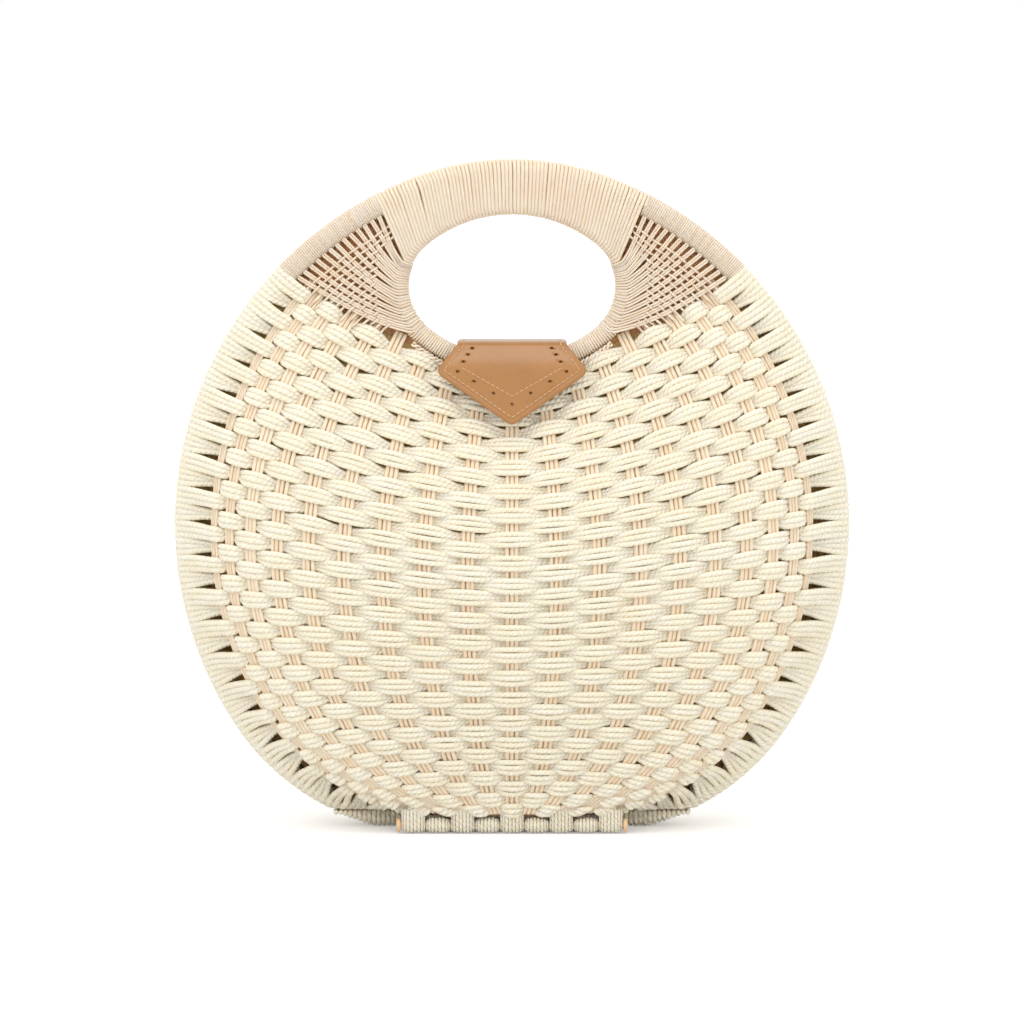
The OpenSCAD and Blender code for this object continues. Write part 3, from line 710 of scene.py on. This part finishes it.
def makeLining(shell):
    u = np.sin(np.radians(np.linspace(-90, 90, lining["columns"])))
    side = np.abs(u) ** lining["footPower"]
    foot = blend(lining["footMiddle"], lining["footSide"], side)
    v = blend(foot, 1, np.linspace(0, 1, lining["rows"])[:, None] ** lining["rowPower"])
    point, _, _, normal = faceFrame(np.broadcast_to(u, v.shape), v)
    grid = point - normal * lining["depth"]
    grid[..., 1] = np.minimum(grid[..., 1], lining["edgeLevel"] - lining["clear"])
    # Its edge turns back to the hoop, and at the top to the oval
    sides = []
    for side, column in ((-1, 0), (1, -1)):
        rim = rimHeight(v[:, column])
        nearTop = smooth((v[:, column] - lining["topFrom"]) / lining["topOver"])
        level = blend(lining["sideLevel"], lining["edgeLevel"], nearTop)
        reach = halfWidth(rim, rowInset) + lining["sideReach"] + lining["topReach"] * nearTop
        sides.append(np.stack([side * reach, level, rim], -1)[:, None])
    grid = np.concatenate([sides[0], grid, sides[1]], axis=1)
    top = facePoint(np.concatenate([[-1], u, [1]]), 1.0)
    top[:, 1] = lining["edgeLevel"]
    top[:, 2] += lining["topTuck"]
    shellCloth(shell, "lining_cloth", np.concatenate([grid, top[None]], axis=0), liningCloth,
               (f"{shell}_lining",))


grip = {"pitch": 1.72, "radius": 0.94, "loopPoints": 11, "quarter": 95, "wander": 0.06, "tone": 0.4,
        "slitAngle": 110.9, "slitGap": 0.42, "slitReach": 5.0, "slitFrom": 30, "slitOver": 30}


def makeGrip(shell):
    def hoop(track, end, radius):
        return track, (lengthAt(track, end), lengthAt(track, 180 - end)), radius - grip["radius"]
    hoops = (hoop(hoopTrack, bag["gripEnd"], bag["hoopRadius"]),
             hoop(ovalTrack, bag["gripInside"], bag["ovalRadius"]))
    first, last = hoops[0][1]
    turns = int(round((last - first) / grip["pitch"]))
    jitter = np.cumsum(rng.normal(0, grip["wander"], turns + 2))
    jitter -= np.linspace(0, jitter[-1], turns + 2)
    slit = (lengthAt(hoopTrack, grip["slitAngle"]) - first) / (last - first) * turns
    # One loop goes round the outer hoop from the front over the top, then round the oval hoop
    quarter = grip["quarter"]
    loop = [(0, a) for a in np.linspace(quarter, -quarter, grip["loopPoints"])]
    loop += [(1, a) for a in np.linspace(-quarter, quarter - 360, grip["loopPoints"])]
    path = []
    for turn in range(turns):
        # Two turns have slipped apart on the front of the upper hoop
        apart = turn - slit + 0.5
        gap = grip["slitGap"] * math.exp(-abs(apart) / grip["slitReach"]) * (1 if apart > 0 else -1)
        for number, (which, a) in enumerate(loop):
            track, ends, radius = hoops[which]
            part = number / len(loop)
            share = (turn + part + blend(jitter[turn], jitter[turn + 1], part)) / turns
            slips = which == 0 and shell == "front"
            slip = gap * float(smooth((a - grip["slitFrom"]) / grip["slitOver"])) if slips else 0
            path.append(turnAt(track, blend(*ends, share) + slip, radius, a)[0])
    shellStrands(shell, "grip_turns", [np.array(path)], grip["radius"], caneFinish, ("grip_binding",),
                 tones=grip["tone"])


lattice = {
    "rays": 13, "radius": 0.56, "samples": 44, "foot": -46, "spreadPower": 1.3, "drift": 0.3,
    "hoopStart": 1.2, "ovalEnd": 0.9, "startPull": 0.9, "hoopBend": 0.5, "ovalBend": 0.35,
    "pairAtHoop": 0.54, "pairMiddle": 0.5, "pairAtOval": 0.6, "pairFrom": 4.5, "pairTo": 0.6,
    "level": -8.7, "ovalLevel": -9.5, "risesOver": 10, "lift": 0.5,
    "wrap": (40, 140, 6), "wrapSunk": 0.45, "tuck": (88, 225, 9), "tuckSunk": 0.15,
    "firstWeaver": 7.4, "weaverPitch": 3.0, "fullReach": 27, "freeAtOval": 11.5, "mostWeavers": 14,
    "weaverFrom": -0.05, "weaverTo": 1.15, "weaverOver": 0.2, "weaverLift": 0.65, "weaverWander": 0.25,
    "weaverFree": 0.9, "weaverPoints": 4, "fewestPoints": 6, "wanderRate": 0.9,
    "bandPitch": 0.98, "bandTurn": (-150, 200, 14),
    "goreFrom": -0.14, "goreEnd": 1.25, "goreRows": 15, "goreColumns": 9, "goreLevel": -3.0,
    "goreFoot": -66, "goreFull": 1.1, "goreStart": 0.9, "goreTuck": 0.8, "gripTuck": 2.6, "gripShare": 0.08,
}


def onRim(beyond, degrees):
    return onCircle(sideCentre, bag["sideRadius"] - rowInset + beyond, degrees)


def rayEnds(t):
    spread = max(t, 0) ** lattice["spreadPower"] + min(t, 0)
    return blend(bag["gripEnd"], bag["creamEnd"], t), blend(bag["gripInside"], lattice["foot"], spread)


def rayCurve(t):
    a, b = rayEnds(t)
    start = onRim(lattice["hoopStart"], a)
    end = ovalPoint(b, bag["ovalRadius"] + lattice["ovalEnd"])
    way = unit(end - start)
    startWay = unit(way - lattice["hoopBend"] * normalsOf(a)) * lattice["startPull"]
    endWay = unit(way - lattice["ovalBend"] * normalsOf(b))
    curve = hermite(start, startWay, end, endWay, lattice["samples"] - 2)
    curve = np.vstack([start, curve, end])
    return curve, runningLength(curve)


def weaverDistance(number, reach):
    return (lattice["firstWeaver"] + lattice["weaverPitch"] * number) * min(1, reach / lattice["fullReach"])


def latticeRays():
    paths = []
    hoopR = bag["hoopRadius"] - lattice["radius"] - lattice["wrapSunk"]
    ovalR = bag["ovalRadius"] - lattice["tuckSunk"]
    for i in range(lattice["rays"]):
        t = (i + 0.5) / lattice["rays"]
        hoopAngle, ovalAngle = rayEnds(t)
        curve, distance = rayCurve(t)
        reach = distance[-1]
        way = unit(np.gradient(curve, axis=0))
        across = np.stack([-way[:, 1], way[:, 0]], -1)
        drift = rng.normal(0, lattice["drift"])
        first = weaverDistance(0, reach)
        gap = weaverDistance(1, reach) - first
        last = reach - lattice["freeAtOval"]
        inWeave = smooth((distance - first + gap) / gap) * smooth((last - distance) / gap + 0.5)
        wave = np.cos(np.pi * (distance - first) / gap) * (1 if i % 2 == 0 else -1)
        share = smooth((distance - reach + lattice["risesOver"]) / lattice["risesOver"])
        level = blend(lattice["level"], lattice["ovalLevel"], share) - lattice["lift"] * wave * inWeave
        middle, late = lattice["pairMiddle"], lattice["pairTo"]
        nearOval = smooth((distance - late * reach) / ((1 - late) * reach))
        spread = (blend(middle, lattice["pairAtHoop"], smooth(1 - distance / lattice["pairFrom"]))
                  + (lattice["pairAtOval"] - middle) * nearOval)
        for member in (-1, 1):
            atHoop = lengthAt(hoopTrack, hoopAngle) - member * lattice["pairAtHoop"]
            wrap = turnAt(hoopTrack, atHoop, hoopR, np.linspace(*lattice["wrap"]))
            aside = -member * spread + drift * np.sin(np.pi * distance / reach)
            ray = lifted(curve + across * aside[:, None], level)
            # It lies round the oval hoop from its front to its inner side
            atOval = lengthAt(ovalTrack, ovalAngle) + member * lattice["pairAtOval"]
            tuck = turnAt(ovalTrack, atOval, ovalR, np.linspace(*lattice["tuck"]))
            paths.append(np.vstack([wrap, ray[1:-1], tuck]))
    return paths


def bandTurns():
    first, last = (lengthAt(hoopTrack, bag[key]) for key in ("creamEnd", "gripEnd"))
    turns = int((last - first) / lattice["bandPitch"])
    radius, turn = bag["hoopRadius"] - lattice["radius"], np.linspace(*lattice["bandTurn"])
    return [turnAt(hoopTrack, first + (last - first) * number / turns, radius, turn)
            for number in range(turns + 1)]


def latticeWeavers():
    count = (lattice["rays"] + 2) * lattice["weaverPoints"]
    ts = np.linspace(lattice["weaverFrom"], lattice["weaverTo"], count)
    curves = [rayCurve(float(t)) for t in ts]
    paths = []
    for w in range(lattice["mostWeavers"]):
        path = []
        for k, (curve, length) in zip(ts * lattice["rays"] - 0.5, curves):
            wander = lattice["weaverWander"] * math.sin(k * lattice["wanderRate"] + w)
            distance = weaverDistance(w, length[-1]) + wander
            if distance > length[-1] - lattice["freeAtOval"] * lattice["weaverFree"]:
                continue
            x, z = along(distance, length, curve)
            wave = math.cos(math.pi * k) * (1 if w % 2 == 0 else -1)
            path.append((x, lattice["level"] + lattice["weaverOver"] + lattice["weaverLift"] * wave, z))
        if len(path) >= lattice["fewestPoints"]:
            paths.append(np.array(path))
    return paths


def latticeGore(side):
    grid = []
    inset = 2 * bag["ovalRadius"] - lattice["goreTuck"]
    for t in np.linspace(lattice["goreFrom"], lattice["goreEnd"], lattice["goreRows"]):
        start = onRim(lattice["goreStart"], blend(bag["gripEnd"], bag["creamEnd"], t))
        nearGrip = min(1, max(0, (lattice["gripShare"] - t) * 10))
        turned = blend(bag["gripInside"], lattice["goreFoot"], min(1, t / lattice["goreFull"]))
        end = ovalPoint(turned, inset - lattice["gripTuck"] * nearGrip)
        flat = blend(start, end, np.linspace(0, 1, lattice["goreColumns"])[:, None])
        grid.append(lifted(flat * np.array([side, 1]), lattice["goreLevel"]))
    return np.array(grid)


def makeLattice(shell, side):
    flip = np.array([side, 1, 1])
    paths = [path * flip for path in latticeRays() + bandTurns() + latticeWeavers()]
    part = "lattice_left" if side < 0 else "lattice_right"
    shellStrands(shell, f"{part}_strands", paths, lattice["radius"], caneFinish, (part, "cane_binding"))
    shellCloth(shell, f"{part}_gore", latticeGore(side), goreClothPaintedShade)


oval = {"pitch": 1.18, "radius": 0.6, "turnPoints": 14, "tone": 0.5,
        "edgeRadius": 0.55, "edgePitch": 4.4, "edgePoints": 260, "edgePast": 3, "edgeOut": 0.9,
        "edgeWide": 0.75, "edgeLevel": 3.4, "edgeDeep": 0.6}


def makeOval(shell):
    # From the right grip edge down round the foot and up to the left one
    first, foot = (lengthAt(ovalTrack, a) for a in (bag["gripInside"], -90))
    whole = ovalTrack["length"][-1]
    span = 2 * (first - foot)
    turns = int(span / oval["pitch"])
    count = turns * oval["turnPoints"]
    point, normal = trackAt(ovalTrack, np.mod(first - np.arange(count) / count * span, whole))
    path = roundTube(point, normal, bag["ovalRadius"] - oval["radius"],
                     -360 * np.arange(count) / oval["turnPoints"])
    shellStrands(shell, "oval_turns", [path], oval["radius"], caneFinish, ("oval_binding",),
                 tones=oval["tone"])
    # Two strands are twined where the weave ends below the oval hoop
    end = lengthAt(ovalTrack, lattice["foot"] - oval["edgePast"])
    s = np.linspace(end, -end, oval["edgePoints"])
    point, normal = trackAt(ovalTrack, np.mod(s, whole))
    paths = []
    for start in (0, math.pi):
        angle = s / oval["edgePitch"] * 2 * math.pi + start
        out = bag["ovalRadius"] + oval["edgeOut"] + oval["edgeWide"] * np.cos(angle)
        level = -bag["hoopPlane"] - oval["edgeLevel"] - oval["edgeDeep"] * np.sin(angle)
        paths.append(lifted(point + normal * out[:, None], level))
    shellStrands(shell, "oval_edge", paths, oval["edgeRadius"], caneFinish)


leather = {
    "rim": 1.1, "crease": 1.9, "creaseDepth": 0.26, "creaseWide": 0.35, "rows": 96, "rowPower": 1.25,
    "rimSteps": (0, 0.12, 0.35, 0.7, 1.1, 1.6, 2.1, 2.6, 3.4), "innerSteps": 7, "narrow": 8,
    "softFold": 16.0, "foldTilt": 40, "tiltLess": 3, "cornerRadius": 4.0, "straightTo": -1.0,
    "seatGap": 0.3,
    "stitchIn": 2.9, "stitchFrom": 0.4, "stitchLength": 1.7, "stitchPitch": 2.5, "threadRadius": 0.27,
    "stitchShares": (0, 0.12, 0.5, 0.88, 1.0), "stitchHeights": (-0.3, 0.05, 0.14, 0.05, -0.3),
    "innerWide": 22.5, "innerTop": 11.2, "innerPoint": 24.8, "stitchTone": 0.5,
    "punchRadius": 0.72, "punchIn": 10, "punchTop": 0.75, "punchReach": 3.0,
    "punchSlant": (0.34, 0.7), "punchSide": (0, 0.36, 0.64, 0.9),
    "tongueRows": 40, "tonguePlay": 0.02, "tongueStitchNear": 1, "tongueStitchFar": 2,
}
foldDip = broadOff - math.sqrt(broadRadius ** 2 - (bag["foldWidth"] / 2) ** 2)
foldTop = holeZ + foldDip + leather["seatGap"]
foldBack = 2 * bag["hoopRadius"]


def mirrored(right, middle):
    return np.array([*right, middle, *[(-x, y) for x, y in right[::-1]]])


def tabOutline(top):
    fold = bag["foldWidth"] / 2
    right = [(fold, top), (fold, leather["straightTo"]), (bag["tabWidth"] / 2, bag["tabWideAt"])]
    corners = mirrored(right, (0.0, bag["tabLength"]))
    points = [corners[0]]
    for before, p, after in zip(corners, corners[1:], corners[2:]):
        a, b = unit(before - p), unit(after - p)
        reach = leather["cornerRadius"] / math.tan(math.acos(float(a @ b)) / 2)
        points += [p + a * reach * (1 - t) ** 2 + b * reach * t ** 2 for t in np.linspace(0, 1, 9)]
    return np.array([*points, corners[-1]])


def edgeDistance(points, outline):
    nearest = np.full(len(points), 1e9)
    for a, b in zip(outline[:-1], outline[1:]):
        way = b - a
        share = np.clip(((points - a) @ way) / max(way @ way, 1e-12), 0, 1)
        nearest = np.minimum(nearest, np.linalg.norm(points - a - share[:, None] * way, axis=1))
    return nearest


# Its outline runs from the top right corner down and up to the top left one
def plateMesh(name, outline, rows, bend):
    half = outline[:len(outline) // 2 + 1]
    low = half[-1, 1]
    heights = low - (low - half[0, 1]) * np.linspace(0, 1, rows) ** leather["rowPower"]
    order = np.argsort(half[:, 1])
    wide = np.interp(heights, half[order, 1], half[order, 0])
    steps = np.array(leather["rimSteps"])
    inner = np.linspace(0, 1, leather["innerSteps"] + 1)[1:]
    flat = []
    for w, y in zip(wide, heights):
        reach = min(1.0, w / leather["narrow"])
        right = np.concatenate([w - steps * reach, (w - steps[-1] * reach) * (1 - inner)])
        flat += [(x, y) for x in np.concatenate([right, -right[-2::-1]])]
    flat = np.array(flat)
    cols = len(flat) // rows
    away = edgeDistance(flat, outline)
    swell = np.sqrt(np.clip(1 - (1 - np.clip(away / leather["rim"], 0, 1)) ** 2, 0, 1))
    groove = leather["creaseDepth"] * np.exp(-((away - leather["crease"]) / leather["creaseWide"]) ** 2)
    thick = bag["leather"] / 2 * swell
    bm, sheets = twoLayers(rows, cols, bend(flat, thick - groove), bend(flat, -thick))
    # The edge that lies on the seat keeps its thickness, the others close to a round rim
    seat = [bm.edges.get(ends) for verts in sheets for ends in zip(verts[-cols:-1], verts[1 - cols:])]
    bmesh.ops.bridge_loops(bm, edges=seat)
    bmesh.ops.remove_doubles(bm, verts=bm.verts, dist=0.00002)
    bmesh.ops.dissolve_degenerate(bm, dist=0.00001, edges=bm.edges)
    bmesh.ops.holes_fill(bm, edges=[edge for edge in bm.edges if edge.is_boundary])
    return smoothMesh(name, bm)


# Heights and angles along the leather, from the flat seat over the fold and down the face
def tabBend():
    s = np.linspace(-16, bag["tabLength"] + 1, 1200)
    tilt = leather["foldTilt"]
    arc = (bag["bendRadius"] + bag["leather"] / 2) * math.radians(90 - tilt)
    over = blend(90, tilt, np.clip((s + arc) / arc, 0, 1))
    down = blend(tilt, bag["tabTilt"] - leather["tiltLess"], smooth(s / leather["softFold"]))
    angle = np.radians(np.where(s > 0, down, over))
    y, z = (np.cumsum(-way(angle)) * (s[1] - s[0]) for way in (np.sin, np.cos))
    start = np.searchsorted(s, -arc)
    y += -foldBack - y[start]
    z += foldTop + bag["leather"] / 2 - z[start]

    def bend(flat, height):
        a = np.interp(flat[:, 1], s, angle)
        return np.stack([flat[:, 0], np.interp(flat[:, 1], s, y) - height * np.cos(a),
                         np.interp(flat[:, 1], s, z) + height * np.sin(a)], -1)
    return bend, -arc


def punchPoints():
    tip = np.array([0, bag["tabLength"] - leather["punchIn"]])
    wide = np.array([bag["tabWidth"] / 2 - leather["punchIn"], bag["tabWideAt"]])
    top = np.array([bag["foldWidth"] / 2 - leather["punchIn"] * leather["punchTop"], 0])
    right = [blend(tip, wide, share) for share in leather["punchSlant"]]
    right += [blend(wide, top, share) for share in leather["punchSide"]]
    return [tip] + [point * np.array([side, 1]) for side in (-1, 1) for point in right]


# The holes are punched along the leather's own normal
def punchHoles(piece, bend):
    punch = bpy.data.meshes.new("punch")
    bm = bmesh.new()
    radius = leather["punchRadius"] * mm
    for at in punchPoints():
        ends = bend(np.array([at, at]), leather["punchReach"] * np.array([-1, 1])) * mm
        way = Vector(ends[1] - ends[0])
        turn = way.to_track_quat("Z", "Y").to_matrix().to_4x4()
        turn.translation = Vector((ends[0] + ends[1]) / 2)
        bmesh.ops.create_cone(bm, cap_ends=True, segments=20, radius1=radius, radius2=radius,
                              depth=way.length, matrix=turn)
    bm.to_mesh(punch)
    bm.free()
    tool = addObject("punch", punch)
    cutter = piece.modifiers.new("punched", "BOOLEAN")
    cutter.operation = "DIFFERENCE"
    cutter.solver = "EXACT"
    cutter.object = tool
    bpy.context.view_layer.update()
    punched = bpy.data.meshes.new_from_object(piece.evaluated_get(bpy.context.evaluated_depsgraph_get()))
    piece.modifiers.clear()
    piece.data = punched
    punched.name = piece.name
    bpy.data.objects.remove(tool)


def placeStitches(name, body, lines, bend):
    height = bag["leather"] / 2 + np.array(leather["stitchHeights"])
    stitch = leather["stitchLength"]
    paths = []
    for line in lines:
        length = runningLength(line)
        for start in np.arange(leather["stitchFrom"], length[-1] - stitch, leather["stitchPitch"]):
            at = start + stitch * np.array(leather["stitchShares"])
            paths.append(bend(along(at, length, line), height))
    placeStrands(name, paths, leather["threadRadius"], body, ("leather", stitchThread),
                 tones=leather["stitchTone"])


def makeTab():
    bend, seatFrom = tabBend()
    seat = foldBack - bag["axisBack"] - bag["leather"] / 2 - leather["seatGap"]
    outline = tabOutline(seatFrom - seat)
    mesh = plateMesh("tab_leather", outline, leather["rows"], bend)
    punchHoles(place("tab_leather", mesh, "front_shell", "leather", tanLeather, ("leather_tab",)), bend)
    span = outline[1:-1]
    way = unit(np.gradient(span, axis=0))
    inward = np.stack([-way[:, 1], way[:, 0]], -1) * leather["stitchIn"]
    towards = (inward * (np.array([0, bag["tabWideAt"]]) - span)).sum(-1, keepdims=True) > 0
    vee = mirrored([(leather["innerWide"], leather["innerTop"])], (0, leather["innerPoint"]))
    placeStitches("tab_stitches", "front_shell", [span + inward * np.where(towards, 1, -1), vee], bend)


def makeTongue():
    half, far = bag["foldWidth"] / 2, bag["tongueReach"]
    near = leather["tonguePlay"] - bag["axisBack"]
    corner = leather["cornerRadius"]
    right = [(half - corner + corner * math.cos(a), far - corner + corner * math.sin(a))
             for a in np.linspace(0, math.pi / 2, 8)]

    def lay(flat, height):
        return np.column_stack([flat, foldTop + bag["leather"] / 2 + height])
    outline = mirrored([(half, near), *right], (0.0, far))
    mesh = plateMesh("tongue_leather", outline, leather["tongueRows"], lay)
    place("tongue_leather", mesh, "tongue", "leather", tanLeather, ("tongue",))
    ends = near + leather["tongueStitchNear"], far - leather["tongueStitchFar"]
    lines = [np.array([[side * (half - leather["stitchIn"]), end] for end in ends]) for side in (-1, 1)]
    placeStitches("tongue_stitches", "tongue", lines, lay)


base = {
    "cordRadius": 1.15, "pitch": 2.25, "levels": (3.4, 5.6), "top": 6.62, "topRings": 5, "sideRings": 2,
    "middleRows": (-1, 0, 1), "recessGap": 0.1,
    "endPitch": 2.15, "endShort": 2.0, "endBend": 0.6, "endFlat": 0.3,
    "loopRadii": (0.42, 0.62, 0.78, 0.8, 0.8, 0.78, 0.62, 0.42), "loopRadius": 0.8, "loopGap": 0.6,
    "rodRadius": 1.9, "rodPlay": 0.1, "frontTurn": (180, 360, 13), "baseTurn": (65, 270, 14),
    "frontLean": 0.3, "frontUp": (11.0, 8.0), "frontInside": (7.0, 9.6),
    "baseUp": 6.2, "baseIn": (1.2, 1.0),
}


def footRing(inset, level):
    face = facePoint(np.sin(np.radians(np.linspace(-90, 90, 49))), 0.0)
    x = face[:, 0] * (1 - inset / face[-1, 0])
    y = np.minimum(-bag["edgeDepth"] / 2, face[:, 1] + inset)
    front = np.stack([x, y, np.full(len(x), level)], -1)
    return np.vstack([front, front[::-1] * np.array([1, -1, 1])])


def straightCord(reach, y, level, count):
    return np.array([(x, y, level) for x in np.linspace(-reach, reach, count)])


# Turns round the base's two ends, under the hoops
def endTurns(wide):
    r = base["cordRadius"]
    high, deep = bag["rimHeight"] - r, bag["edgeDepth"] - r
    last = float(halfWidth(bag["rimHeight"], 0)) - base["endShort"]
    paths = []
    for x in np.arange(wide, last, base["endPitch"]):
        foot = lowCentre[1] - math.sqrt(bag["lowRadius"] ** 2 - (x - lowCentre[0]) ** 2)
        low = min(max(0, foot) + r, high - base["endFlat"])
        middle, corner = (low + high) / 2, deep - base["endBend"]
        turn = [(-deep, high), (-deep, middle), (-corner, low), (0, low), (corner, low), (deep, middle),
                (deep, high), (0, high)]
        paths += [np.array([(x * side, y, z) for y, z in turn]) for side in (-1, 1)]
    return paths


def makeBase():
    r = base["cordRadius"]
    closed, opened = [], []
    recess = -bag["recessBack"] + r + base["recessGap"]
    number = 0
    while r + base["pitch"] * number < bag["baseDepth"] - bag["edgeDepth"] / 2 - r:
        levels = [r, *(base["levels"] if number < base["sideRings"] else ())]
        levels += [base["top"]] if number < base["topRings"] else []
        for level in levels:
            ring = footRing(r + base["pitch"] * number, level)
            if ring[:, 1].min() < recess:
                kept = np.roll(ring, -len(ring) // 2, axis=0)
                kept = kept[kept[:, 1] > recess]
                gap = np.argmax(np.linalg.norm(np.diff(np.vstack([kept, kept[:1]]), axis=0), axis=1))
                opened.append(np.roll(kept, -gap - 1, axis=0))
            else:
                closed.append(ring)
        number += 1
    reach = footRing(r + base["pitch"] * number, r)[:, 0].max()
    opened += [straightCord(reach, base["pitch"] * row, r, 9) for row in base["middleRows"]]
    wide = float(facePoint(1.0, 0.0)[0])
    opened += [straightCord(wide - 1, recess, level, 13) for level in (r, *base["levels"], base["top"])]
    closed += endTurns(wide)
    placeStrands("base_coil", closed, r, "back_shell", cordFinish, ("base_rim",), cyclic=True)
    placeStrands("base_core", opened, r, "back_shell", cordFinish, ("base_rim",))


def makeLoops(part, shell, first):
    radii = np.array(base["loopRadii"])
    span = bag["loopPitch"] - base["loopGap"]
    turn = np.linspace(*base[part + "Turn"])
    paths, widths = [], []
    for index in range(first, 1 - first, 2):
        edge = index * bag["loopPitch"] - span / 2
        for k, radius in enumerate(radii):
            x = edge + (2 * radii[:k].sum() + radius) * span / (2 * radii.sum())
            ring = base["rodRadius"] + radius + base["rodPlay"]
            path = onCircle((-bag["rodBack"], bag["rodHeight"]), ring, turn)
            (before, _), (after, low) = path[0], path[-1]
            if part == "front":
                lean, (top, middle), (inner, end) = base["frontLean"], base["frontUp"], base["frontInside"]
                path = [(before + lean, top), (before, middle), *path, (after, inner), (after - lean, end)]
            else:
                start, end = (back - bag["recessBack"] for back in base["baseIn"])
                path = [(start, base["baseUp"]), *path, (end, low)]
            paths.append(np.array([(x, y, z) for y, z in path]))
            widths.append(radius / base["loopRadius"])
    placeStrands(f"{part}_loop_cords", paths, base["loopRadius"], f"{shell}_shell", cordFinish,
                 (f"{part}_loops",), widths=widths)


for shell in ("front", "back"):
    makeFace(shell)
    makeLining(shell)
    makeGrip(shell)
    for side in (-1, 1):
        makeLattice(shell, side)
    makeOval(shell)
    print(f"{shell} shell woven")
makeTab()
makeTongue()
makeBase()
makeLoops("front", "front", -bag["sideLoops"])
makeLoops("base", "back", 1 - bag["sideLoops"])
print("leather, base and loops made")

# Solids that keep their shape get their finish
nodeFinish = {"base_board": liningCloth, "hinge_rod": plainCane, "front_rail": plainCane,
              "tongue_magnet": magnetSteel, "keeper_magnet": magnetSteel}
for shell in ("front", "back"):
    nodeFinish[f"{shell}_outer_hoop"] = plainCane
    nodeFinish[f"{shell}_oval_hoop"] = plainCane
    nodeFinish[f"{shell}_saddle"] = tanLeather
for name, material in nodeFinish.items():
    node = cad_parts[name]
    if node.material_slots:
        for slot in node.material_slots:
            slot.material = material
    else:
        node.data.materials.append(material)
print("nodes finished")
